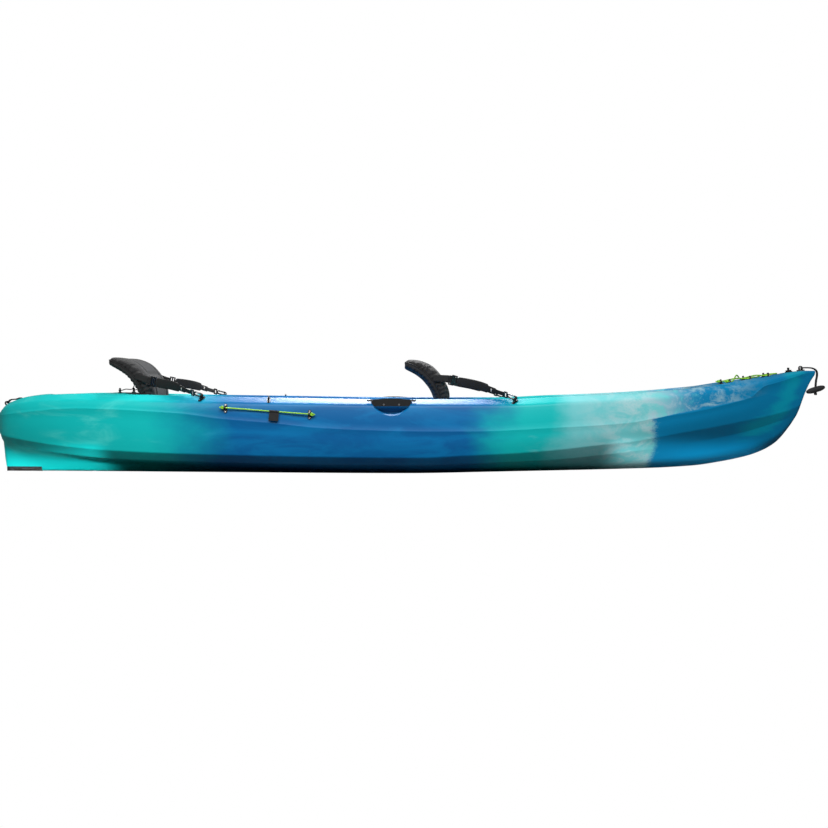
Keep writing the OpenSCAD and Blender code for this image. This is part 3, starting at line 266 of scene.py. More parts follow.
def section(x):
    """Half a cross-section's corners, from the keel's centre out to the rim."""
    s = share(x)
    b = half_width(x)
    f = fade(x)
    keel = along(KEEL, s)
    rim = rim_z(x)
    step = LEAST_STEP * (rim - keel)
    edge_z = rim - min(BEVEL_H * f, 5 * step)
    low_z = max(along(CHINE_LOW, s), keel + step)
    top_z = max(along(CHINE_TOP, s), low_z + step)
    crease_z = clamp(along(CREASE, s), top_z + step, edge_z - step)
    keel_y = min(along(KEEL_HALF, s), 0.5 * b)
    low_y = b - CHINE_LOW_IN * f
    top_y = b - CHINE_TOP_IN * f
    edge_y = b - PANEL_LEAN * f
    root_y = keel_y + (low_y - keel_y) * along(ROOT_OUT, s)
    root_z = keel + (low_z - keel) * along(ROOT_UP, s)
    low_panel = ((top_y + b) / 2 + PANEL_SWELL * f, (top_z + crease_z) / 2)
    high_panel = ((b + edge_y) / 2 + PANEL_SWELL * f / 2, (crease_z + edge_z) / 2)
    return [
        (0, keel), (keel_y, keel), (root_y, root_z), (low_y, low_z), (top_y, top_z), low_panel, (b, crease_z),
        high_panel, (edge_y, edge_z), (inner_half(x), rim)]


# How far each corner of the section is rounded, as the most in millimetres and the share of its shorter edge
ROUNDING = {
    1: (16, 0.4), 2: (30, 0.4), 3: (4, 0.15), 4: (5, 0.2), 5: (60, 0.45), 6: (5, 0.2), 7: (60, 0.45),
    8: (11, 0.35), 9: (14, 0.35)}
ROUND_STEPS = 5
# A slight bead stands along the crease of each side
CREASE_CORNER, CREASE_BEAD = 6, 1.0
# The deck is sampled inward from this share of the rim's half width
DECK_EDGE, DECK_STEPS = 0.97, 56


def skin_ring(x):
    """A closed ring round the hull, with rounded corners and a finely sampled deck."""
    corners = section(x)
    deck_half = DECK_EDGE * corners[-1][0]
    corners.append((deck_half, deck_z(x, deck_half)))
    half = [corners[0]]
    for i, (most, part) in ROUNDING.items():
        p, q, n = (Vector(corners[i + k]) for k in (-1, 0, 1))
        cut = min(most, part * (p - q).length, part * (n - q).length)
        a = q + (p - q).normalized() * cut
        b = q + (n - q).normalized() * cut
        for k in range(ROUND_STEPS):
            t = k / (ROUND_STEPS - 1)
            y, z = (1 - t) ** 2 * a + 2 * t * (1 - t) * q + t * t * b
            if i == CREASE_CORNER:
                y += CREASE_BEAD * fade(x) * 4 * t * (1 - t)
            half.append((y, z))
    for k in range(1, DECK_STEPS + 1):
        y = deck_half * (1 - k / DECK_STEPS)
        half.append((y, deck_z(x, y) + rung(x, y)))
    port = [(x, y, z) for y, z in half]
    starboard = [(x, -y, z) for y, z in half[-2:0:-1]]
    return port + starboard


END_STATIONS, MID_STATIONS = 10, 300


def skin_stations():
    """Stations along the hull, in steps that grow from 3 mm at its two ends."""
    half = HULL_L / 2
    ends = [k * (k + 5) / 2 for k in range(END_STATIONS)]
    aft = [-half + d for d in ends]
    fore = [half - d for d in reversed(ends)]
    span = fore[0] - aft[-1]
    return aft + [aft[-1] + span * k / MID_STATIONS for k in range(1, MID_STATIONS)] + fore


# Handle scoops, scuppers and the rebate for the skid plate

HANDLE_X, SCOOP_R, SCOOP_LOW, SCOOP_BACK = -66.0, 97.5, 262.0, 365.0
SCOOP_Z = SCOOP_LOW + SCOOP_R
SCUPPERS = [(-1400, 45, TANK_FLOOR), (-150, 236, FOOT_FLOOR), (720, 140, FOOT_FLOOR)]
SCUPPER_R = 14.0
SKID_FORE, SKID_H = -1636.0, 20.0
CUT_STEPS = 96


def turned_cutter(profile, place):
    """Points and faces of a closed turned form; place maps (radius, height, angle) to a point."""
    angles = [2 * math.pi * k / CUT_STEPS for k in range(CUT_STEPS)]
    points = [place(radius, height, angle) for radius, height in profile for angle in angles]
    return points, loft_faces(len(profile), CUT_STEPS)


def hull_cutter(material):
    """One object that holds everything cut from the hull's skin."""
    points, faces = [], []

    def add(more_points, more_faces):
        base = len(points)
        points.extend(more_points)
        faces.extend(tuple(i + base for i in face) for face in more_faces)

    scoop = [
        (SCOOP_R - 9, SCOOP_BACK), (SCOOP_R - 3, SCOOP_BACK + 2), (SCOOP_R, SCOOP_BACK + 9), (SCOOP_R, 410),
        (SCOOP_R + 2, 418), (SCOOP_R + 7, 425), (SCOOP_R + 16, 433), (SCOOP_R + 26, 450)]
    for side in SIDES.values():
        add(*turned_cutter(scoop, lambda r, h, a: (
            HANDLE_X + r * math.cos(a), side * h, SCOOP_Z + r * math.sin(a))))
        for x, y, floor in SCUPPERS:
            pipe = [(SCUPPER_R, -40), (SCUPPER_R, floor - 6), (SCUPPER_R + 1.5, floor - 2),
                    (SCUPPER_R + 6, floor + 2), (SCUPPER_R + 12, floor + 8)]
            add(*turned_cutter(pipe, lambda r, h, a: (x + r * math.cos(a), side * y + r * math.sin(a), h)))
    low, high = (-HULL_L, -BEAM, -50), (SKID_FORE, BEAM, SKID_H)
    corners = [(x, y, z) for x in (low[0], high[0]) for y in (low[1], high[1]) for z in (low[2], high[2])]
    add(corners, [(0, 1, 3, 2), (4, 6, 7, 5), (0, 4, 5, 1), (2, 3, 7, 6), (0, 2, 6, 4), (1, 5, 7, 3)])
    cutter = mesh_object("hull_cutter", points, faces, material)
    face_out(cutter)
    return cutter


SHARP_ANGLE = math.radians(34)


def build_hull(material):
    """The hull's skin, lofted through its rings and cut."""
    rings = [skin_ring(x) for x in skin_stations()]
    around = len(rings[0])
    points = [p for ring in rings for p in ring]
    hull = mesh_object("hull_skin", points, loft_faces(len(rings), around), material)
    face_out(hull)
    cutter = hull_cutter(material)
    cut = hull.modifiers.new("cuts", "BOOLEAN")
    cut.operation = "DIFFERENCE"
    cut.solver = "EXACT"
    cut.object = cutter
    apply_modifiers(hull)
    bpy.data.objects.remove(cutter)
    hull.data.shade_smooth()
    hull.data.set_sharp_from_angle(angle=SHARP_ANGLE)
    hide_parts("hull")
    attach(hull, "hull")


# Places on the hull's skin, as in the CAD part: a point, its outward normal and a direction along the skin

SEAT_GAP, EYE_Z, EYE_FIN_T, EYE_R = 0.3, 12.0, 6.0, 5.5
EDGE_K, PANEL_K, BEVEL_MID = 8, 7, 0.5
PROBE = 8.0
AHEAD = Vector((10000, 0, 0))
ABEAM = Vector((0, 10000, 0))


def placed(point, normal, towards):
    d = towards - point
    return point, normal, square_to(d, normal)


def skin_place(x, k, t, side, towards):
    def at(station, part):
        corners = section(station)
        p = Vector(corners[k]).lerp(Vector(corners[k + 1]), part)
        return Vector((station, side * p[0], p[1]))

    fore = at(x + PROBE, t) - at(x - PROBE, t)
    up = at(x, 1) - at(x, 0)
    return placed(at(x, t), (side * up.cross(fore)).normalized(), towards)


def deck_place(x, y, towards):
    def at(px, py):
        return Vector((px, py, deck_z(px, py)))

    fore = at(x + PROBE, y) - at(x - PROBE, y)
    out = at(x, y + PROBE) - at(x, y - PROBE)
    return placed(at(x, y), fore.cross(out).normalized(), towards)


def local(place, x, y, z):
    point, normal, direction = place
    return point + x * direction + y * normal.cross(direction) + z * normal


def eye_hole(place):
    return local(place, 0, 0, SEAT_GAP + EYE_Z)


STRAP_REACH = {"front": 252.0, "rear": 228.0}
BUCKLE_Y = 232.0
EYE_X = {"front": 455.0, "rear": -872.0}
BUCKLE_Z = {"front": 405.0, "rear": 400.0}
HOOK_END, HOOK_Z = 55.0, EYE_Z + 7.75
BUCKLE_HALF, MEET_GAP = 13.0, 0.4


def buckle_at(seat, side):
    return Vector((EYE_X[seat] - STRAP_REACH[seat], side * BUCKLE_Y, BUCKLE_Z[seat]))


def seat_eye(seat, side):
    return skin_place(EYE_X[seat], EDGE_K, BEVEL_MID, side, buckle_at(seat, side))


# Seat backs: a curved panel, straight at its foot and then bent back on an arc

BACK_STRAIGHT, BACK_BEND_R, BACK_L, BACK_WRAP = 66.0, 220.0, 350.0, 6.0
BACK_HALF, BACK_FOOT_HALF, BACK_CORNER = 228.0, 196.0, 46.0
BACK_PAD_T, BACK_BOARD_T = 52.0, 22.0
EDGE_SHARE, SEAM_AT = 0.25, 0.56
PAD_FOOT, PAD_SWELL_L, TOP_THIN, TOP_ROUND = 30.0, 130.0, 0.5, 34.0
# A back cushion is thin at its foot and over its head, and its cover is thin round its edge
FOOT_THIN, HEAD_L, TOP_EDGE, BOARD_EDGE, BOARD_END_L = 0.3, 110.0, 0.4, 0.35, 40.0
CUSHION_GAP = 0.2
FOLD_UP = 34.0
FOLD = {
    "front": Vector((FRONT_SEAT_X, 0, FRONT_PAN + FOLD_UP)),
    "rear": Vector((REAR_SEAT_X, 0, REAR_PAN + FOLD_UP))}


def corner_in(d, r):
    return 0.0 if d >= r else r - math.sqrt(r * r - (r - d) ** 2)


def back_half_at(s):
    wide = BACK_FOOT_HALF + (BACK_HALF - BACK_FOOT_HALF) * ease(s / (0.62 * BACK_L))
    return wide - corner_in(max(BACK_L - s, 1), BACK_CORNER) - corner_in(max(s, 1), BACK_CORNER / 2)


def back_point(s, v, h):
    """A place on a seat back: length up from its fold, share of its half width, height off its middle."""
    a = max(0.0, (s - BACK_STRAIGHT) / BACK_BEND_R)
    out = h + BACK_WRAP * v * v
    x = -BACK_BEND_R * (1 - math.cos(a)) + out * math.cos(a)
    z = min(s, BACK_STRAIGHT) + BACK_BEND_R * math.sin(a) + out * math.sin(a)
    return Vector((x, v * back_half_at(s), z))


def back_place(p):
    """The length, width share and height of a point near a seat back."""
    if p.z <= BACK_STRAIGHT:
        s, h = p.z, p.x
    else:
        a = math.atan2(p.z - BACK_STRAIGHT, p.x + BACK_BEND_R)
        s = BACK_STRAIGHT + BACK_BEND_R * a
        h = math.hypot(p.x + BACK_BEND_R, p.z - BACK_STRAIGHT) - BACK_BEND_R
    v = p.y / back_half_at(clamp(s, 0, BACK_L))
    return s, v, h - BACK_WRAP * v * v


def puffed(v):
    return max(0.0, 1 - abs(v) ** 4) ** 0.25


def cushion_h(s, v):
    foot = ease((s - PAD_FOOT) / PAD_SWELL_L)
    head = ease((BACK_L - s) / HEAD_L)
    full = BACK_PAD_T * (FOOT_THIN + (1 - FOOT_THIN) * foot) * (TOP_THIN + (1 - TOP_THIN) * head)
    return full * (EDGE_SHARE + (1 - EDGE_SHARE) * puffed(v))


def top_round(s):
    """Rounds the top edge of a seat back."""
    return TOP_EDGE + (1 - TOP_EDGE) * puffed(1 - clamp((BACK_L - s) / TOP_ROUND, 0, 1))


def board_h(s, v):
    ends = puffed(1 - clamp(min(s, BACK_L - s) / BOARD_END_L, 0, 1))
    return BACK_BOARD_T * (BOARD_EDGE + (1 - BOARD_EDGE) * ends * puffed(v))


ACROSS_STEPS = 48


def closed_panel(name, rows, front, rear, place, material):
    """A closed padded panel between a front and a rear surface."""
    shares = [math.sin(math.pi / 2 * (2 * i / ACROSS_STEPS - 1)) for i in range(ACROSS_STEPS + 1)]
    points = []
    for s in rows:
        points += [place(s, v, front(s, v)) for v in shares]
        points += [place(s, v, rear(s, v)) for v in reversed(shares)]
    piece = mesh_object(name, points, loft_faces(len(rows), 2 * len(shares)), material)
    face_out(piece)
    return piece


CLOTH_FRAMES, SMOOTH_ROUNDS = 20, 4


def puff(piece, voxel, pressure, most, free=lambda p: 1.0):
    """Swells a closed pad as cloth under a little air, up to a cap; free gives each point's share of it."""
    remesh = piece.modifiers.new("remesh", "REMESH")
    remesh.mode = "VOXEL"
    remesh.voxel_size = voxel
    apply_modifiers(piece)
    scene = bpy.context.scene
    start = [v.co.copy() for v in piece.data.vertices]
    cloth = piece.modifiers.new("cloth", "CLOTH")
    cloth.settings.use_pressure = True
    cloth.settings.uniform_pressure_force = pressure
    cloth.settings.effector_weights.gravity = 0
    for number in range(1, CLOTH_FRAMES + 1):
        scene.frame_set(number)
    made = piece.evaluated_get(bpy.context.evaluated_depsgraph_get()).to_mesh()
    moved = [v.co.copy() for v in made.vertices]
    piece.modifiers.clear()
    scene.frame_set(1)
    for vertex, old, new in zip(piece.data.vertices, start, moved):
        step = new - old
        if step.length > most:
            step *= most / step.length
        vertex.co = old + free(old / MM) * step
    smooth = piece.modifiers.new("smooth", "SMOOTH")
    smooth.iterations = SMOOTH_ROUNDS
    fine = piece.modifiers.new("fine", "SUBSURF")
    fine.levels = 1
    apply_modifiers(piece)
    piece.data.shade_smooth()


def groove(piece, depth_at):
    """Sinks sewn seams into a pad: depth_at gives the depth at a point, in millimetres."""
    moves = [v.normal * (-depth_at(v.co / MM) * MM) for v in piece.data.vertices]
    for vertex, move in zip(piece.data.vertices, moves):
        vertex.co += move
    piece.data.update()


def copy_to(piece, name, offset):
    """A copy of a piece, shifted in its mesh."""
    mesh = piece.data.copy()
    mesh.transform(Matrix.Translation(offset * MM))
    twin = bpy.data.objects.new(name, mesh)
    bpy.context.scene.collection.objects.link(twin)
    return twin


SEAM_DEPTH, SEAM_WIDE, EDGE_HOLD = 7.0, 9.0, 50.0
# The cross seam's share of the depth and its place up a back
CROSS_SHARE, CROSS_S = 0.7, 205.0
# Seams start this far up a back, fade in and out over these lengths, and are sunk only above this height
SEAM_FOOT, SEAM_FADE_IN, SEAM_FADE_OUT, SEAM_OVER = 20.0, 60.0, 50.0, 8.0


def back_free(p):
    """How freely a point of a back cushion may move: not at its sewn outline."""
    s, v, _ = back_place(p)
    edge = min(BACK_L - s, (1 - abs(v)) * back_half_at(clamp(s, 0, BACK_L)))
    return ease(edge / EDGE_HOLD)


def back_seam(p):
    s, v, h = back_place(p)
    if h < SEAM_OVER or not SEAM_FOOT < s < BACK_L:
        return 0.0
    half = back_half_at(clamp(s, 0, BACK_L))
    side = math.exp(-(((abs(v) - SEAM_AT) * half / SEAM_WIDE) ** 2))
    cross = math.exp(-(((s - CROSS_S) / SEAM_WIDE) ** 2)) * (1 if abs(v) < SEAM_AT else 0)
    ends = ease((s - SEAM_FOOT) / SEAM_FADE_IN) * ease((BACK_L - s) / SEAM_FADE_OUT)
    return SEAM_DEPTH * max(side, CROSS_SHARE * cross) * ends


PAD_AHEAD, PAD_L, PAD_HALF, PAD_T, PAD_WAIST = 58.0, 320.0, 190.0, 30.0, 10.0
PAD_CORNER, PAD_EDGE, PAD_SEAM_SHARE = 16.0, 0.3, 0.8


def pad_half_at(t):
    return PAD_HALF - PAD_WAIST * (1 - (2 * t - 1) ** 2) - PAD_CORNER * abs(2 * t - 1) ** 8


def pad_point(t, v, h):
    return Vector((PAD_AHEAD + PAD_L * t, v * pad_half_at(t), h))


def pad_top(t, v):
    return PAD_T * (PAD_EDGE + (1 - PAD_EDGE) * puffed(v) * puffed(2 * t - 1))


def pad_seam(p):
    if p.z < SEAM_OVER:
        return 0.0
    t = clamp((p.x - PAD_AHEAD) / PAD_L, 0, 1)
    v = p.y / pad_half_at(t)
    side = math.exp(-(((abs(v) - SEAM_AT) * PAD_HALF / SEAM_WIDE) ** 2))
    cross = math.exp(-((p.x - PAD_AHEAD - 0.5 * PAD_L) / SEAM_WIDE) ** 2) * (1 if abs(v) < SEAM_AT else 0)
    return PAD_SEAM_SHARE * SEAM_DEPTH * max(side, CROSS_SHARE * cross) * puffed(2 * t - 1)


HINGE_HALF, HINGE_T = 176.0, 4.0
HINGE_LINE = [(-2.2, -0.5), (-2, -4.5), (-1, -8.5), (4, -12), (12, -15), (22, -18.2), (32, -21), (45, -24),
              (PAD_AHEAD - 0.5, -26)]
PIPING_R, PIPING_H, PIPING_FOOT, PIPING_SIDE, PIPING_TOP = 2.4, 2.0, 0.1, 30, 20
# Rows along each form, and how much smaller than its full form a pad is before it is puffed
BACK_ROWS, CUSHION_ROWS, BOARD_ROWS, PAD_ROWS = 13, 40, 130, 40
CUSHION_FILL, CUSHION_IN, PAD_FILL, PAD_IN = 0.86, 0.985, 0.9, 0.98


def piping_line():
    """The piping's line up one side of a back, across its top and down the other side."""
    shares = [PIPING_FOOT + (1 - PIPING_FOOT) * i / PIPING_SIDE for i in range(PIPING_SIDE + 1)]
    side = [back_point(BACK_L * t, 1.0, PIPING_H) for t in shares]
    top = [back_point(BACK_L, 1 - 2 * i / PIPING_TOP, PIPING_H) for i in range(1, PIPING_TOP)]
    return side + top + [Vector((p.x, -p.y, p.z)) for p in reversed(side)]


def build_seats(settings, cloth, cover, piping_material):
    """The cushions, pads, covers and piping of both seats, shaped once and set in both places."""
    voxel, pressure, most = settings.voxel, settings.pressure, settings.cap
    rows = [BACK_L * (1 + (BACK_ROWS - 1) * i / CUSHION_ROWS) / BACK_ROWS for i in range(CUSHION_ROWS + 1)]
    cushion = closed_panel(
        "cushion", rows, lambda s, v: CUSHION_FILL * cushion_h(s, v) * top_round(s),
        lambda s, v: CUSHION_GAP + 1.0, lambda s, v, h: back_point(s, CUSHION_IN * v, h), cloth)
    puff(cushion, voxel, pressure, most, back_free)
    groove(cushion, lambda p: back_seam(p) + side_gathers(p))
    rows = [BACK_L * i / BOARD_ROWS for i in range(BOARD_ROWS + 1)]
    board = closed_panel(
        "board", rows, lambda s, v: 0.0, lambda s, v: -board_h(s, v) * top_round(s) - gathers(s, v),
        back_point, cover)
    rows = [math.sin(math.pi / 2 * (2 * i / PAD_ROWS - 1)) / 2 + 0.5 for i in range(PAD_ROWS + 1)]
    pad = closed_panel(
        "pad", rows, lambda t, v: PAD_FILL * pad_top(t, v), lambda t, v: 1.0,
        lambda t, v, h: pad_point(t, PAD_IN * v, h), cloth)
    puff(pad, voxel, pressure, most / 2)
    groove(pad, pad_seam)
    for vertex in pad.data.vertices:
        vertex.co.z = max(vertex.co.z, SEAT_GAP * MM)
    back_parts = ((cushion, "cushion", "seat_back_cushion"), (board, "cover", "seat_back_board"))
    for seat in SEATS:
        body = f"{seat}_seat_back"
        fold = FOLD[seat]
        for source, word, node in back_parts:
            piece = copy_to(source, f"{seat}_back_{word}", fold)
            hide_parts(f"{seat}_{node}")
            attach(piece, body)
        piece = copy_to(pad, f"{seat}_pad_cover", fold - Vector((0, 0, FOLD_UP)))
        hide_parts(f"{seat}_seat_pad")
        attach(piece, "hull")
        hinge = hinge_flap(f"{seat}_fold_flap", fold, cover)
        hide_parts(f"{seat}_seat_hinge")
        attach(hinge, "hull")
        pipe = tube(f"{seat}_back_piping", [fold + p for p in piping_line()], PIPING_R, piping_material)
        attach(pipe, body)
    for source in (cushion, board, pad):
        bpy.data.objects.remove(source)


GATHER_WAVE, GATHER_DEEP, GATHER_TOP_L, SLACK_DEEP = 3.0, 1.8, 40.0, 1.5
# Gathers start at this share of the half width and reach their depth over this much more
CUSHION_GATHERS, COVER_GATHERS = (0.84, 0.12), (0.72, 0.25)


def gathered(v, start, reach):
    return ease((abs(v) - start) / reach)


def side_gathers(p):
    """Small gathers down the two sides of a back cushion."""
    s, v, h = back_place(p)
    side = gathered(v, *CUSHION_GATHERS) * ease((BACK_L - s) / GATHER_TOP_L)
    return GATHER_DEEP * side * math.sin(s / GATHER_WAVE + 4 * noise.noise(Vector((s / 30, h / 14, 3 * v))))


def gathers(s, v):
    """Small gathers of the rear cover, strongest at its two sides."""
    side = gathered(v, *COVER_GATHERS)
    wave = math.sin(s / GATHER_WAVE + 4 * noise.noise(Vector((s / 30, 0, 3 * v))))
    slack = noise.noise(Vector((s / 55, v * 4, 7)))
    return GATHER_DEEP * side * wave + SLACK_DEEP * slack * puffed(v)


HINGE_STEPS = 40


def hinge_flap(name, fold, material):
    """The cloth flap from a pad's aft edge up to the foot of its back."""
    ys = [HINGE_HALF * (2 * k / HINGE_STEPS - 1) for k in range(HINGE_STEPS + 1)]
    points = []
    for i, (x, z) in enumerate(HINGE_LINE):
        ahead = HINGE_LINE[min(i + 1, len(HINGE_LINE) - 1)]
        behind = HINGE_LINE[max(i - 1, 0)]
        d = unit((ahead[0] - behind[0], 0, ahead[1] - behind[1]))
        out = Vector((-d.z, 0, d.x)) * (HINGE_T / 2 - 0.3)
        mid = fold + Vector((x, 0, z))
        points += [mid + out + Vector((0, y, 0)) for y in ys]
        points += [mid - out + Vector((0, y, 0)) for y in reversed(ys)]
    piece = mesh_object(name, points, loft_faces(len(HINGE_LINE), 2 * len(ys)), material)
    face_out(piece)
    piece.data.set_sharp_from_angle(angle=math.radians(50))
    return piece


# Cords, tubes and straps

def bend(a, b, c, d, t):
    """A point between b and c on a smooth line that also goes through a and d."""
    square = 2 * a - 5 * b + 4 * c - d
    cube = 3 * b - a - 3 * c + d
    return 0.5 * (2 * b + (c - a) * t + square * t * t + cube * t ** 3)


def smooth_route(points, steps):
    """A smooth line through points."""
    points = [Vector(p) for p in points]
    last = len(points) - 1
    route = []
    for i in range(last):
        four = [points[clamp(i + k, 0, last)] for k in (-1, 0, 1, 2)]
        route += [bend(*four, k / steps) for k in range(steps)]
    return route + [points[last]]


def route_length(points):
    return sum((b - a).length for a, b in zip(points, points[1:]))


def tube(name, points, radius, material, closed=False):
    """A round cord along points in millimetres, as one curve."""
    data = bpy.data.curves.new(name, "CURVE")
    data.dimensions = "3D"
    data.bevel_depth = radius * MM
    data.bevel_resolution = 3
    data.use_fill_caps = True
    spline = data.splines.new("POLY")
    spline.points.add(len(points) - 1)
    for point, p in zip(spline.points, points):
        point.co = (*(Vector(p) * MM), 1)
    spline.use_cyclic_u = closed
    spline.use_smooth = True
    data.materials.append(material)
    piece = bpy.data.objects.new(name, data)
    bpy.context.scene.collection.objects.link(piece)
    return piece


KNOT_STEPS = 60


def knot(name, centre, axis, size, cord_r, material):
    """An overhand knot: a trefoil of cord round an axis."""
    axis = unit(axis)
    a = square_to((0, 0, 1) if abs(axis.z) < 0.9 else (1, 0, 0), axis)
    b = axis.cross(a)
    reach = size - cord_r
    points = []
    for i in range(KNOT_STEPS):
        t = 2 * math.pi * i / KNOT_STEPS
        across = (math.sin(t) + 2 * math.sin(2 * t)) / 3
        up = (math.cos(t) - 2 * math.cos(2 * t)) / 3
        points.append(centre + reach * (across * a + up * b) - 0.9 * reach * math.sin(3 * t) * axis)
    return tube(name, points, cord_r, material, closed=True)


BUNGEE_R, CORD_R, TETHER_R = 3.0, 3.0, 2.0
KNOT_OUT, KNOT_SIZE, KNOT_R, TAIL_L = 11.0, 7.6, BUNGEE_R - 0.6, 13.0
KEEPER = ((-765.0, 0.33), (-409.0, 0.1))
BOW_EYE_X, BOW_EYE_SHARE = (1432.0, 1528.0, 1614.0), 0.64


def keeper_ends(side):
    return [eye_hole(skin_place(x, PANEL_K, t, side, AHEAD)) for x, t in KEEPER]


def build_keepers(bungee):
    """The paddle keepers' elastic cords, each knotted outside its two pad eyes."""
    for word, side in SIDES.items():
        a, b = keeper_ends(side)
        d = unit(b - a)
        tail = (KNOT_OUT + TAIL_L) * d
        mid = (a + b) / 2
        points = smooth_route([a - tail, a - KNOT_OUT * d, a, a.lerp(mid, 0.5), mid, mid.lerp(b, 0.5), b,
                               b + KNOT_OUT * d, b + tail], 3)
        cord = tube(f"{word}_keeper_cord", points, BUNGEE_R, bungee)
        knots = [knot(f"{word}_keeper_knot_{end}", p, d, KNOT_SIZE, KNOT_R, bungee)
                 for end, p in (("aft", a - KNOT_OUT * d), ("fore", b + KNOT_OUT * d))]
        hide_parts(f"{word}_keeper_bungee")
        finish_cord(cord, knots, points, "hull")


def finish_cord(cord, extras, points, body):
    """Sets a cord and its knots on their body."""
    for piece in [cord] + extras:
        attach(piece, body)
    route_length(points) * MM


LACE_RUN, LACE_IN, LACE_HIGH, LACE_LOW, LACE_UNDER, LACE_FORE = 16.0, 2.0, 20.0, 5.0, -3.0, 46.0


def lace_eye(i, side, way):
    """The cord's points through a bow eye, along the eye's own hole."""
    x = BOW_EYE_X[i]
    place = deck_place(x, side * BOW_EYE_SHARE * inner_half(x), AHEAD)
    h = eye_hole(place)
    run = way * LACE_RUN * place[2]
    inward = Vector((0, -side * LACE_IN, 0))
    return [h - run + inward, h, h + run + inward]


def between(a, b, lift):
    return (a + b) / 2 + Vector((0, 0, lift))


def build_bow_cord(bungee):
    """The bow's elastic cord, laced across between its three pairs of pad eyes."""
    a_s, b_p, c_s = lace_eye(0, -1, 1), lace_eye(1, 1, 1), lace_eye(2, -1, 1)
    c_p, b_s, a_p = lace_eye(2, 1, -1), lace_eye(1, -1, -1), lace_eye(0, 1, -1)
    turn_x = BOW_EYE_X[2] + LACE_FORE
    aft = Vector((-1, 0, 0))
    ends = [[h + (KNOT_OUT + TAIL_L) * aft, h + KNOT_OUT * aft] for h in (a_s[1], a_p[1])]
    line = (ends[0] + a_s[1:] + [between(a_s[2], b_p[0], LACE_HIGH)]
            + b_p + [between(b_p[2], c_s[0], LACE_LOW)]
            + c_s + [Vector((turn_x, 0, deck_z(turn_x, 0) + EYE_Z))]
            + c_p + [between(c_p[2], b_s[0], LACE_UNDER)]
            + b_s + [between(b_s[2], a_p[0], LACE_LOW)]
            + a_p[:2] + ends[1][::-1])
    points = smooth_route(line, 6)
    cord = tube("bow_lace", points, BUNGEE_R, bungee)
    knots = [knot(f"bow_lace_knot_{i}", pair[1], aft, KNOT_SIZE, KNOT_R, bungee)
             for i, pair in enumerate(ends)]
    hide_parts("bow_bungee")
    finish_cord(cord, knots, points, "hull")


STRAND_Y = 7.5
BOW_TOGGLE_X, STERN_TOGGLE_X = 1768.0, -1795.0
BOW_GRIP = Vector((1836, 0, 364))
BOW_KNOT_Z = 345.0
STERN_GRIP = Vector((-1692, 0, TOGGLE_WELL_FLOOR + 15.5))
STERN_KNOT_X = -1671.0
TOGGLE_KNOT_HALF, TOGGLE_KNOT_SIZE, TOGGLE_KNOT_R = 6.0, 5.4, CORD_R - 0.8
CORD_IN_EYE = EYE_R - CORD_R - 3 * SEAT_GAP


def leads(place):
    """The strand's last points before its eye."""
    found = []
    for ahead, out in ((24, 1.0), (10, 1.15), (2, 0.78)):
        p = eye_hole(place) - ahead * place[1].cross(place[2])
        found.append((p.x, out, p.z))
    return found


def toggle_route(strand, place):
    through = eye_hole(place) - CORD_IN_EYE * place[1].cross(place[2])
    first = [Vector((x, -STRAND_Y * out, z)) for x, out, z in strand]
    second = [Vector((p.x, -p.y, p.z)) for p in reversed(first)]
    return smooth_route(first + [through] + second, 5)


def build_toggles(braid):
    """The cord loops of the end toggles."""
    bow = deck_place(BOW_TOGGLE_X, 0, ABEAM)
    stern = deck_place(STERN_TOGGLE_X, 0, ABEAM)
    bow_strand = [(BOW_GRIP.x, 1, BOW_KNOT_Z + up * TOGGLE_KNOT_HALF) for up in (-1, 0, 1)]
    bow_strand += [(1836, 1, 384), (1838, 1, 405), (1842, 1, 430), (1838, 1, 449), (1820, 1, 460)]
    stern_strand = [(STERN_KNOT_X + up * TOGGLE_KNOT_HALF, 1, STERN_GRIP.z) for up in (1, 0, -1)]
    stern_strand += [(-1708, 1, STERN_GRIP.z), (-1722, 1, 315), (-1740, 1, 326), (-1760, 1, 321)]
    loops = (("bow", bow_strand, bow, (0, 0, 1)), ("stern", stern_strand, stern, (1, 0, 0)))
    for word, strand, place, axis in loops:
        points = toggle_route(strand + leads(place), place)
        cord = tube(f"{word}_toggle_loop", points, CORD_R, braid)
        knots = []
        for side_word, side in SIDES.items():
            x, out, z = strand[1]
            centre = Vector((x, side * STRAND_Y * out, z))
            name = f"{word}_toggle_knot_{side_word}"
            knots.append(knot(name, centre, axis, TOGGLE_KNOT_SIZE, TOGGLE_KNOT_R, braid))
        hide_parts(f"{word}_toggle_cord")
        finish_cord(cord, knots, points, f"{word}_toggle")


TETHER_EYE_X, TETHER_EYE_Y, TETHER_S, TETHER_V = REAR_SEAT_X - 120, 150.0, 200.0, 0.62


def build_tethers(braid):
    """Thin cords that hold the rear seat's back to the ridge behind it."""
    for word, side in SIDES.items():
        h = -board_h(TETHER_S, TETHER_V) - TETHER_R + SEAT_GAP
        start = FOLD["rear"] + back_point(TETHER_S, side * TETHER_V, h)
        eye = eye_hole(deck_place(TETHER_EYE_X, side * TETHER_EYE_Y, AHEAD))
        line = [eye + Vector(step) for step in ((-EYE_FIN_T, 0, 0), (8, 0, 0), (26, 0, 5))]
        line += [start + Vector((-12, 0, -22)), start]
        thick = 2 * TETHER_R
        piece = round_strap(f"{word}_tether", smooth_route(line, 8), thick, thick, Vector((0, 1, 0)), braid)
        if side < 0:
            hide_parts("rear_tethers")
        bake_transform(piece)


STRAP_ARCH = 6.0
# A flat strap's edges are this square, and a padded one's two ends are drawn in to this share
STRAP_SIDES, STRAP_SQUARE, STRAP_END, STRAP_SWELL = 16, 0.35, 0.72, 0.28


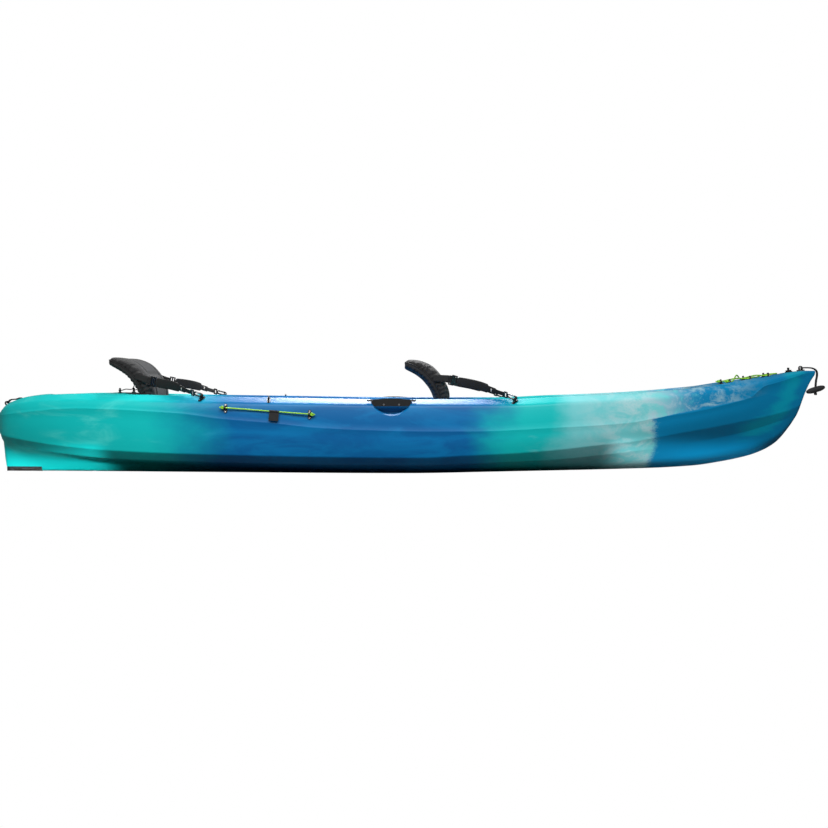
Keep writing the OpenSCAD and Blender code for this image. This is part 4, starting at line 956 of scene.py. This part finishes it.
def strap_line(seat, side):
    """The strap's route from its buckle to its hook, as a function of the share along it."""
    place = seat_eye(seat, side)
    buckle = buckle_at(seat, side)
    tail = local(place, HOOK_END, 0, SEAT_GAP + HOOK_Z)
    d = (tail - buckle).normalized()
    rise = square_to(place[1], d)
    slant = abs(rise.dot(place[2])) * WEB_W / 2 + abs(d.cross(rise).dot(place[2])) * WEB_T / 2
    a = buckle + (BUCKLE_HALF + MEET_GAP) * d
    b = tail - (MEET_GAP + slant) / abs(d.dot(place[2])) * d

    def at(t):
        return a.lerp(b, t) + Vector((0, 0, 16 * STRAP_ARCH * (t * (1 - t)) ** 2))

    def up(t):
        return Vector((0, 0, 1)).lerp(place[1], t)

    return at, up


def round_strap(name, points, width, thickness, up, material):
    """A strap with rounded edges; width, thickness and up may be functions of the share along it."""
    count = len(points)
    rings = []
    for i, p in enumerate(points):
        t = i / (count - 1)
        w, h = (value(t) if callable(value) else value for value in (width, thickness))
        d = (points[min(i + 1, count - 1)] - points[max(i - 1, 0)]).normalized()
        rise = square_to(up(t) if callable(up) else up, d)
        out = d.cross(rise)
        for k in range(STRAP_SIDES):
            a = 2 * math.pi * k / STRAP_SIDES
            c, s = math.cos(a), math.sin(a)
            square = STRAP_SQUARE if w > h else 1.0
            rings.append(p + rise * (w / 2 * math.copysign(abs(c) ** square, c)) + out * (h / 2 * s))
    piece = mesh_object(name, rings, loft_faces(count, STRAP_SIDES), material)
    face_out(piece)
    return piece


def stretch(at, low, high, count):
    return [at(low + (high - low) * i / (count - 1)) for i in range(count)]


# Where the sleeve, the keeper and its stitching lie along a strap, as shares of it
SLEEVE, STRAP_KEEPER, STITCH = (0.02, 0.67), (0.66, 0.84), (0.735, 0.755)
WEB_W, WEB_T, SLEEVE_W, SLEEVE_T, KEEPER_W, KEEPER_T = 20.0, 2.6, 42.0, 9.0, 27.0, 7.0
STITCH_W, STITCH_T = KEEPER_W * 0.6, KEEPER_T + 1.0


def padded_strap(name, line, span, count, width, thickness, material):
    """A stretch of strap whose two ends are drawn in."""
    at, up = line
    low, high = span

    def full(most):
        return lambda t: most * (STRAP_END + STRAP_SWELL * puffed(2 * t - 1))

    return round_strap(name, stretch(at, low, high, count), full(width), full(thickness),
                       lambda t: up(low + t * (high - low)), material)


def build_straps(webbing, sleeve_cloth, thread):
    """Each side strap: webbing through a padded sleeve and a keeper, with a light bar of stitching."""
    for seat in SEATS:
        for word, side in SIDES.items():
            line = strap_line(seat, side)
            at, up = line
            tag = f"{seat}_{word}"
            web = round_strap(f"{tag}_webbing", stretch(at, 0, 1, 40), WEB_W, WEB_T, up, webbing)
            sleeve = padded_strap(f"{tag}_sleeve", line, SLEEVE, 40, SLEEVE_W, SLEEVE_T, sleeve_cloth)
            keeper = padded_strap(f"{tag}_keeper", line, STRAP_KEEPER, 16, KEEPER_W, KEEPER_T, webbing)
            stitch = round_strap(f"{tag}_stitch", stretch(at, *STITCH, 4), STITCH_W, STITCH_T,
                                 lambda t: up(sum(STITCH) / 2), thread)
            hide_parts(f"{tag}_strap")
            for piece in (web, sleeve, keeper, stitch):
                at(1.0) * MM
                at(0.0) * MM
                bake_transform(piece)


# Materials

def linear(*rgb):
    """A scene-linear colour from one given in 0 to 255."""
    def one(v):
        c = v / 255
        return c / 12.92 if c <= 0.04045 else ((c + 0.055) / 1.055) ** 2.4

    return (*(one(v) for v in rgb), 1.0)


class Nodes:
    """Short ways to lay out a material's nodes."""

    def __init__(self, name):
        self.material = bpy.data.materials.new(name)
        self.material.use_nodes = True
        self.tree = self.material.node_tree
        self.shader = self.tree.nodes["Principled BSDF"]

    def add(self, kind, **values):
        node = self.tree.nodes.new(kind)
        for key, value in values.items():
            setattr(node, key, value)
        return node

    def link(self, output, socket):
        self.tree.links.new(output, socket)

    def put(self, value, socket):
        """Links a node's output to a socket, or sets a plain value on it."""
        if hasattr(value, "is_output"):
            self.link(value, socket)
        else:
            socket.default_value = value

    def place(self):
        return self.add("ShaderNodeTexCoord").outputs["Object"]

    def sum(self, operation, a, b):
        node = self.add("ShaderNodeMath", operation=operation)
        self.put(a, node.inputs[0])
        self.put(b, node.inputs[1])
        return node.outputs[0]

    def scaled(self, value, factor, offset):
        return self.sum("ADD", self.sum("MULTIPLY", value, factor), offset)

    def swing(self, value, width):
        """A noise set about zero and made as wide as given."""
        return self.sum("MULTIPLY", self.sum("SUBTRACT", value, 0.5), width)

    def noise(self, place, scale, detail=3.0, rough=0.5, warp=0.0):
        node = self.add("ShaderNodeTexNoise")
        self.put(place, node.inputs["Vector"])
        node.inputs["Scale"].default_value = scale
        node.inputs["Detail"].default_value = detail
        node.inputs["Roughness"].default_value = rough
        node.inputs["Distortion"].default_value = warp
        return node.outputs["Fac"]

    def stretched(self, place, x, y, z):
        node = self.add("ShaderNodeMapping")
        self.put(place, node.inputs["Vector"])
        node.inputs["Scale"].default_value = (x, y, z)
        return node.outputs["Vector"]

    def ramp(self, value, low, high):
        """Runs smoothly from 0 at one value to 1 at another."""
        node = self.add("ShaderNodeMapRange", interpolation_type="SMOOTHSTEP")
        self.put(value, node.inputs["Value"])
        self.put(low, node.inputs["From Min"])
        self.put(high, node.inputs["From Max"])
        return node.outputs["Result"]

    def blend(self, share, a, b):
        node = self.add("ShaderNodeMix", data_type="RGBA")
        self.put(share, node.inputs["Factor"])
        self.put(a, node.inputs["A"])
        self.put(b, node.inputs["B"])
        return node.outputs["Result"]

    def bump(self, height, strength, distance):
        node = self.add("ShaderNodeBump")
        self.put(height, node.inputs["Height"])
        node.inputs["Strength"].default_value = strength
        node.inputs["Distance"].default_value = distance
        self.link(node.outputs["Normal"], self.shader.inputs["Normal"])


def mottled(name, dark, light, roughness, scale, metallic=0.0, depth=0.15):
    """A plain surface whose tone and height vary a little."""
    n = Nodes(name)
    grain = n.noise(n.place(), scale)
    n.put(n.blend(grain, linear(*dark), linear(*light)), n.shader.inputs["Base Color"])
    n.shader.inputs["Roughness"].default_value = roughness
    n.shader.inputs["Metallic"].default_value = metallic
    n.bump(grain, depth, 0.0005)
    return n.material


def woven(name, colour, roughness, pitch, sheen):
    """Cloth: two crossed sets of threads under a soft, uneven tone."""
    n = Nodes(name)
    place = n.place()
    weave = None
    for direction in ("X", "Z"):
        thread = n.add("ShaderNodeTexWave", bands_direction=direction)
        n.put(place, thread.inputs["Vector"])
        thread.inputs["Scale"].default_value = 1 / pitch
        thread.inputs["Distortion"].default_value = 0.6
        weave = thread.outputs["Fac"] if weave is None else n.sum("MULTIPLY", weave, thread.outputs["Fac"])
    tone = n.noise(place, 18.0, 4.0)
    shade = n.sum("ADD", n.sum("MULTIPLY", weave, 0.35), n.sum("MULTIPLY", tone, 0.65))
    n.put(n.blend(shade, (*(0.5 * c for c in colour), 1), (*(1.6 * c for c in colour), 1)),
          n.shader.inputs["Base Color"])
    n.shader.inputs["Roughness"].default_value = roughness
    n.shader.inputs["Sheen Weight"].default_value = sheen
    n.bump(n.sum("ADD", weave, tone), 0.35, 0.001)
    return n.material


def braided(name, colour):
    """A cord's woven sheath, with darker flecks along it."""
    n = Nodes(name)
    place = n.place()
    fibre = n.noise(place, 420.0, 2.0)
    dark = (*(0.4 * c for c in colour), 1)
    n.put(n.blend(n.ramp(fibre, 0.5, 0.7), (*colour, 1), dark), n.shader.inputs["Base Color"])
    n.shader.inputs["Roughness"].default_value = 0.6
    n.bump(fibre, 0.4, 0.0008)
    return n.material


# Where the hull's colours run into each other, in metres along it
BLUE_FROM, SEA_FROM, PALE_FROM, WHITE_FROM = (-1.16, -0.7), (0.26, 0.5), (0.62, 0.76), (0.62, 1.05)
STREAK_FROM, FLECKS_TO = (1.42, 1.54), (1.25, 1.62)
# The bow's edge, and the height and rise of the crease there
BOW_EDGE_X, EDGE_CREASE_Z, EDGE_CREASE_RISE = 1.06, 0.243, 0.19
BOW_RING_AT, BOW_RING = (1.40, 0.50), (0.35, 0.33)


def bow_colour(n, colours, x, z, drift, flecks):
    """The bow's deep blue, with a teal streak along a ring beside the stem and flecks above the crease."""
    ring = None
    for axis, middle, reach in zip((x, z), BOW_RING_AT, BOW_RING):
        off = n.sum("DIVIDE", n.sum("SUBTRACT", axis, middle), reach)
        part = n.sum("POWER", n.sum("ABSOLUTE", off, 0.0), 2.0)
        ring = part if ring is None else n.sum("ADD", ring, part)
    wide = n.sum("ADD", n.sum("SUBTRACT", ring, 1.0), n.swing(drift, 0.9))
    streak = n.sum("SUBTRACT", 1.0, n.ramp(n.sum("ABSOLUTE", wide, 0.0), 0.05, 0.32))
    streak = n.sum("MULTIPLY", streak, n.ramp(x, *STREAK_FROM))
    bow = n.blend(streak, (*colours.bow, 1), (*colours.bow_teal, 1))
    return n.blend(flecks, bow, (*colours.fleck, 1))


def hull_material(colours):
    """Moulded plastic whose colours run into each other along the hull."""
    n = Nodes("hull_plastic")
    place = n.place()
    axes = n.add("ShaderNodeSeparateXYZ")
    n.put(place, axes.inputs[0])
    x, z = axes.outputs["X"], axes.outputs["Z"]
    cloud = n.noise(n.stretched(place, 1.0, 1.0, 1.8), 2.4, 5.0, 0.55)
    drift = n.noise(n.stretched(place, 0.8, 0.8, 3.2), 4.0, 6.0, 0.6, 0.8)
    speck = n.noise(place, 95.0, 3.0, 0.7)
    puffs = n.noise(n.stretched(place, 1.0, 1.0, 1.6), 9.0, 6.0, 0.62, 0.9)
    at = n.sum("ADD", x, n.swing(cloud, 0.45))
    teal = n.blend(n.ramp(drift, 0.5, 0.74), (*colours.teal, 1), (*colours.teal_pale, 1))
    blue = n.blend(n.ramp(drift, 0.4, 0.66), (*colours.blue_deep, 1), (*colours.blue, 1))
    colour = n.blend(n.ramp(at, *BLUE_FROM), teal, blue)
    sea = n.blend(n.ramp(drift, 0.6, 0.85), (*colours.sea, 1), (*colours.pale, 1))
    colour = n.blend(n.ramp(at, *SEA_FROM), colour, sea)
    mist = n.sum("ADD", n.sum("MULTIPLY", speck, 0.2), n.sum("MULTIPLY", puffs, 0.8))
    whiter = n.sum("MULTIPLY", n.ramp(mist, 0.4, 0.66), n.ramp(x, *WHITE_FROM))
    pale = n.blend(whiter, (*colours.pale, 1), (*colours.fleck, 1))
    colour = n.blend(n.ramp(at, *PALE_FROM), colour, pale)
    # The bow's deep blue starts at a sharp edge under the crease and at a soft, flecked one above it
    crease = n.scaled(n.sum("SUBTRACT", x, BOW_EDGE_X), EDGE_CREASE_RISE, EDGE_CREASE_Z)
    above = n.ramp(n.sum("SUBTRACT", z, crease), -0.003, 0.003)
    grit = n.swing(speck, n.scaled(above, 0.12, 0.05))
    ragged = n.swing(puffs, n.scaled(above, 0.5, 0.08))
    edge = n.scaled(above, 0.08, BOW_EDGE_X)
    past = n.sum("SUBTRACT", n.sum("ADD", x, n.sum("ADD", grit, ragged)), edge)
    soft = n.scaled(above, 0.08, 0.02)
    flecked = n.sum("MULTIPLY", n.ramp(mist, 0.44, 0.62), n.sum("SUBTRACT", 1.0, n.ramp(x, *FLECKS_TO)))
    flecks = n.sum("MULTIPLY", flecked, n.sum("MULTIPLY", above, 0.65))
    bow = bow_colour(n, colours, x, z, drift, flecks)
    colour = n.blend(n.ramp(past, n.sum("MULTIPLY", soft, -1.0), soft), colour, bow)
    n.put(colour, n.shader.inputs["Base Color"])
    fine = n.noise(place, 260.0, 2.0)
    n.put(n.scaled(fine, 0.1, 0.33), n.shader.inputs["Roughness"])
    n.shader.inputs["Specular IOR Level"].default_value = 0.24
    n.bump(n.sum("ADD", fine, n.sum("MULTIPLY", cloud, 4.0)), 0.1, 0.0012)
    return n.material


def make_materials(colours):
    """Every material of the kayak by its short name."""
    return {
        "hull": hull_material(colours),
        "fitting": mottled("black_plastic", (8, 9, 10), (18, 19, 20), 0.42, 120.0),
        "grip": mottled("grey_grip", (38, 39, 41), (56, 57, 60), 0.5, 90.0),
        "rubber": mottled("black_rubber", (10, 10, 11), (22, 22, 23), 0.7, 140.0),
        "steel": mottled(
            "stainless_steel", (150, 152, 154), (190, 192, 195), 0.3, 200.0, metallic=1.0, depth=0.05),
        "hook": mottled("black_steel", (16, 16, 17), (40, 41, 43), 0.35, 160.0),
        "bungee": braided("lime_bungee", colours.bungee),
        "cord": braided("black_braid", linear(26, 26, 28)[:3]),
        "webbing": woven("black_webbing", linear(11, 11, 12)[:3], 0.72, 0.004, 0.04),
        "sleeve": woven("sleeve_cloth", linear(14, 14, 15)[:3], 0.8, 0.006, 0.06),
        "cloth": woven("seat_cloth", colours.cloth, 0.82, 0.005, 0.08),
        "cover": woven("seat_cover", tuple(0.6 * c for c in colours.cloth), 0.78, 0.006, 0.06),
        "thread": mottled("white_thread", (196, 196, 192), (232, 232, 228), 0.8, 300.0),
    }


COATED = ("_hook", "_handle_pins")


def dress_nodes(materials):
    """Gives each CAD node the material of its slot; the hooks and the handles' pins are coated black."""
    slots = {part["node"]: part["material_slot"] for part in frame["record"]["subparts"]}
    for name, node in frame["nodes"].items():
        node.data.materials.clear()
        node.data.materials.append(materials["hook" if name.endswith(COATED) else slots[name]])


# Stage: a floor and world that look white, light from above and low at both ends, and the camera

CAMERA_AT, CAMERA_TO, CAMERA_LENS = Vector((0.029, -6.2, 0.400)), Vector((0.029, 0.0, 0.254)), 59.9
SENSOR_W, CLIP_END = 36.0, 200.0
FLOOR_HALF, FLOOR_DROP = 60.0, 0.0005


def seen_white(name, shade):
    """A floor that the camera sees as white and that sends only a little light back up."""
    n = Nodes(name)
    path = n.add("ShaderNodeLightPath")
    glow = n.add("ShaderNodeEmission")
    mix = n.add("ShaderNodeMixShader")
    n.shader.inputs["Base Color"].default_value = (shade, shade, shade, 1)
    n.shader.inputs["Roughness"].default_value = 0.9
    n.link(path.outputs["Is Camera Ray"], mix.inputs["Fac"])
    n.link(n.shader.outputs[0], mix.inputs[1])
    n.link(glow.outputs[0], mix.inputs[2])
    n.link(mix.outputs[0], n.tree.nodes["Material Output"].inputs["Surface"])
    return n.material


def white_world(strength):
    """A world that the camera sees as white and that lights the scene softly."""
    world = bpy.data.worlds.new("studio")
    bpy.context.scene.world = world
    world.use_nodes = True
    tree = world.node_tree
    soft = tree.nodes["Background"]
    soft.inputs["Color"].default_value = (1, 1, 1, 1)
    soft.inputs["Strength"].default_value = strength
    seen = tree.nodes.new("ShaderNodeBackground")
    seen.inputs["Color"].default_value = (1, 1, 1, 1)
    path = tree.nodes.new("ShaderNodeLightPath")
    mix = tree.nodes.new("ShaderNodeMixShader")
    tree.links.new(path.outputs["Is Camera Ray"], mix.inputs["Fac"])
    tree.links.new(soft.outputs[0], mix.inputs[1])
    tree.links.new(seen.outputs[0], mix.inputs[2])
    tree.links.new(mix.outputs[0], tree.nodes["World Output"].inputs["Surface"])


def area_light(name, at, to, size, power, spread=180.0):
    """A light that the camera doesn't see; spread is its beam in degrees."""
    data = bpy.data.lights.new(name, "AREA")
    data.shape = "RECTANGLE"
    data.spread = math.radians(spread)
    data.size, data.size_y = size
    data.energy = power
    light = bpy.data.objects.new(name, data)
    light.visible_camera = False
    light.location = at
    light.rotation_euler = (Vector(to) - Vector(at)).to_track_quat("-Z", "Y").to_euler()
    bpy.context.scene.collection.objects.link(light)


def build_stage(settings):
    """The floor, the world, four lights and the camera."""
    h = FLOOR_HALF / MM
    corners = [(x, y, -FLOOR_DROP / MM) for x, y in ((-h, -h), (h, -h), (h, h), (-h, h))]
    floor = mesh_object("floor", corners, [(0, 1, 2, 3)], seen_white("studio_floor", settings.floor_shade))
    white_world(settings.world)
    area_light("key", at=(-0.2, -3.6, 3.2), to=(0, 0, 0.2), size=(5.0, 2.0), power=settings.key)
    area_light("top", at=(-0.25, 1.7, 3.0), to=(-0.25, 0, 0.3), size=(1.3, 1.6),
               power=settings.top, spread=50.0)
    area_light("stern_low", at=(-1.57, -1.0, 0.24), to=(-1.57, -0.05, 0.012), size=(0.5, 0.05),
               power=0.6 * settings.low, spread=11.0)
    area_light("bow_low", at=(1.24, -1.0, 0.22), to=(1.24, -0.1, 0.05), size=(0.7, 0.05),
               power=0.85 * settings.low, spread=13.0)
    scene = bpy.context.scene
    scene.view_settings.view_transform = "Standard"
    data = bpy.data.cameras.new("camera")
    data.lens = CAMERA_LENS
    data.sensor_width = SENSOR_W
    data.clip_end = CLIP_END
    camera = bpy.data.objects.new("camera", data)
    camera.location = CAMERA_AT
    camera.rotation_euler = (CAMERA_TO - CAMERA_AT).to_track_quat("-Z", "Y").to_euler()
    scene.collection.objects.link(camera)
    scene.camera = camera


# The add-on: settings, one operator for each group of pieces, and a panel

class KayakSeatSettings(bpy.types.PropertyGroup):
    """How the seats' cloth is puffed."""

    voxel: bpy.props.FloatProperty(
        name="Voxel", description="Mesh spacing of the pads' cloth", default=0.006, min=0.003, max=0.012,
        unit="LENGTH")
    pressure: bpy.props.FloatProperty(
        name="Pressure", description="Air pressure that puffs the pads", default=4.0, min=0.0, max=10.0)
    cap: bpy.props.FloatProperty(
        name="Cap", description="Most that a point of a pad may move", default=0.008, min=0.0, max=0.016,
        unit="LENGTH")


def colour_property(name, description, *rgb):
    """A colour setting whose default is given in 0 to 255."""
    return bpy.props.FloatVectorProperty(
        name=name, description=description, default=linear(*rgb)[:3], min=0.0, max=1.0, subtype="COLOR")


class KayakColours(bpy.types.PropertyGroup):
    """Colours of the moulded hull, the cords and the seats."""

    teal: colour_property("Stern", "Teal of the stern", 14, 198, 196)
    teal_pale: colour_property("Stern clouds", "Paler clouds in the stern's teal", 70, 214, 208)
    blue: colour_property("Middle", "Blue of the middle", 0, 114, 174)
    blue_deep: colour_property("Middle, deep", "Deeper blue of the middle", 0, 95, 156)
    sea: colour_property("Front seat", "Teal beside the front seat", 8, 184, 184)
    pale: colour_property("Pale band", "Pale teal behind the bow", 110, 200, 204)
    fleck: colour_property("Flecks", "Whitish flecks in the pale band", 176, 212, 216)
    bow: colour_property("Bow", "Deep blue of the bow", 0, 127, 177)
    bow_teal: colour_property("Bow streak", "Teal streak beside the stem", 0, 156, 186)
    bungee: colour_property("Elastic cord", "Lime of the elastic cords", 150, 214, 52)
    cloth: colour_property("Seats", "Charcoal of the seats' cloth", 27, 27, 28)


class KayakStageSettings(bpy.types.PropertyGroup):
    """Light and floor of the studio."""

    key: bpy.props.FloatProperty(
        name="Key light", description="Power of the light in front and above", default=245.0, min=0.0,
        unit="POWER")
    top: bpy.props.FloatProperty(
        name="Top light", description="Power of the light above and behind", default=26.0, min=0.0,
        unit="POWER")
    low: bpy.props.FloatProperty(
        name="Low lights", description="Power that sets the low lights at bow and stern", default=0.36,
        min=0.0, unit="POWER")
    world: bpy.props.FloatProperty(
        name="World", description="Strength of the light from all round", default=0.18, min=0.0)
    floor_shade: bpy.props.FloatProperty(
        name="Floor", description="How much light the floor sends back up", default=0.12, min=0.0, max=1.0)


class KayakSettings(bpy.types.PropertyGroup):
    """All settings of the dressed kayak."""

    colours: bpy.props.PointerProperty(
        name="Colours", description="Colours of the hull, the cords and the seats", type=KayakColours)
    seats: bpy.props.PointerProperty(
        name="Seats", description="How the seats' cloth is puffed", type=KayakSeatSettings)
    stage: bpy.props.PointerProperty(
        name="Stage", description="Light and floor of the studio", type=KayakStageSettings)


def material(name):
    """A material that the fittings operator made."""
    return bpy.data.materials[name]


class KAYAK_OT_fittings(bpy.types.Operator):
    """Make the materials and dress the rigid fittings"""

    bl_idname = "kayak.fittings"
    bl_label = "Dress fittings"

    def execute(self, context):
        dress_nodes(make_materials(context.scene.kayak.colours))
        return {"FINISHED"}


class KAYAK_OT_hull(bpy.types.Operator):
    """Build the hull's skin"""

    bl_idname = "kayak.hull"
    bl_label = "Build hull"

    def execute(self, context):
        build_hull(material("hull_plastic"))
        return {"FINISHED"}


class KAYAK_OT_seats(bpy.types.Operator):
    """Build both seats' cushions, covers and pads"""

    bl_idname = "kayak.seats"
    bl_label = "Build seats"

    def execute(self, context):
        settings = context.scene.kayak.seats
        build_seats(settings, material("seat_cloth"), material("seat_cover"), material("black_webbing"))
        return {"FINISHED"}


class KAYAK_OT_straps(bpy.types.Operator):
    """Build the seats' side straps and rear tethers"""

    bl_idname = "kayak.straps"
    bl_label = "Build straps"

    def execute(self, context):
        build_straps(material("black_webbing"), material("sleeve_cloth"), material("white_thread"))
        build_tethers(material("black_braid"))
        return {"FINISHED"}


class KAYAK_OT_cords(bpy.types.Operator):
    """Build the elastic cords and the toggles' loops"""

    bl_idname = "kayak.cords"
    bl_label = "Build cords"

    def execute(self, context):
        build_keepers(material("lime_bungee"))
        build_bow_cord(material("lime_bungee"))
        build_toggles(material("black_braid"))
        return {"FINISHED"}


class KAYAK_OT_stage(bpy.types.Operator):
    """Set up the floor, the light and the camera"""

    bl_idname = "kayak.stage"
    bl_label = "Set stage"

    def execute(self, context):
        build_stage(context.scene.kayak.stage)
        return {"FINISHED"}


class KAYAK_PT_panel(bpy.types.Panel):
    """Settings and steps of the dressed kayak"""

    bl_idname = "KAYAK_PT_panel"
    bl_label = "Tandem kayak"
    bl_space_type = "VIEW_3D"
    bl_region_type = "UI"
    bl_category = "Kayak"

    def draw(self, context):
        settings = context.scene.kayak
        column = self.layout.column(align=True)
        for group in (settings.colours, settings.seats, settings.stage):
            for name in group.bl_rna.properties.keys():
                if name not in ("rna_type", "name"):
                    column.prop(group, name)
        for step in STEPS:
            column.operator(step.bl_idname)


STEPS = (KAYAK_OT_fittings, KAYAK_OT_hull, KAYAK_OT_seats, KAYAK_OT_straps, KAYAK_OT_cords, KAYAK_OT_stage)
CLASSES = (KayakColours, KayakSeatSettings, KayakStageSettings, KayakSettings, *STEPS, KAYAK_PT_panel)


def register():
    for one in CLASSES:
        bpy.utils.register_class(one)
    bpy.types.Scene.kayak = bpy.props.PointerProperty(
        name="Kayak", description="Settings of the dressed kayak", type=KayakSettings)


def unregister():
    del bpy.types.Scene.kayak
    for one in reversed(CLASSES):
        bpy.utils.unregister_class(one)


def main():
    register()
    bpy.ops.kayak.fittings()
    bpy.ops.kayak.hull()
    bpy.ops.kayak.seats()
    bpy.ops.kayak.straps()
    bpy.ops.kayak.cords()
    bpy.ops.kayak.stage()
    bpy.context.view_layer.update()


if __name__ == "__main__":
    main()
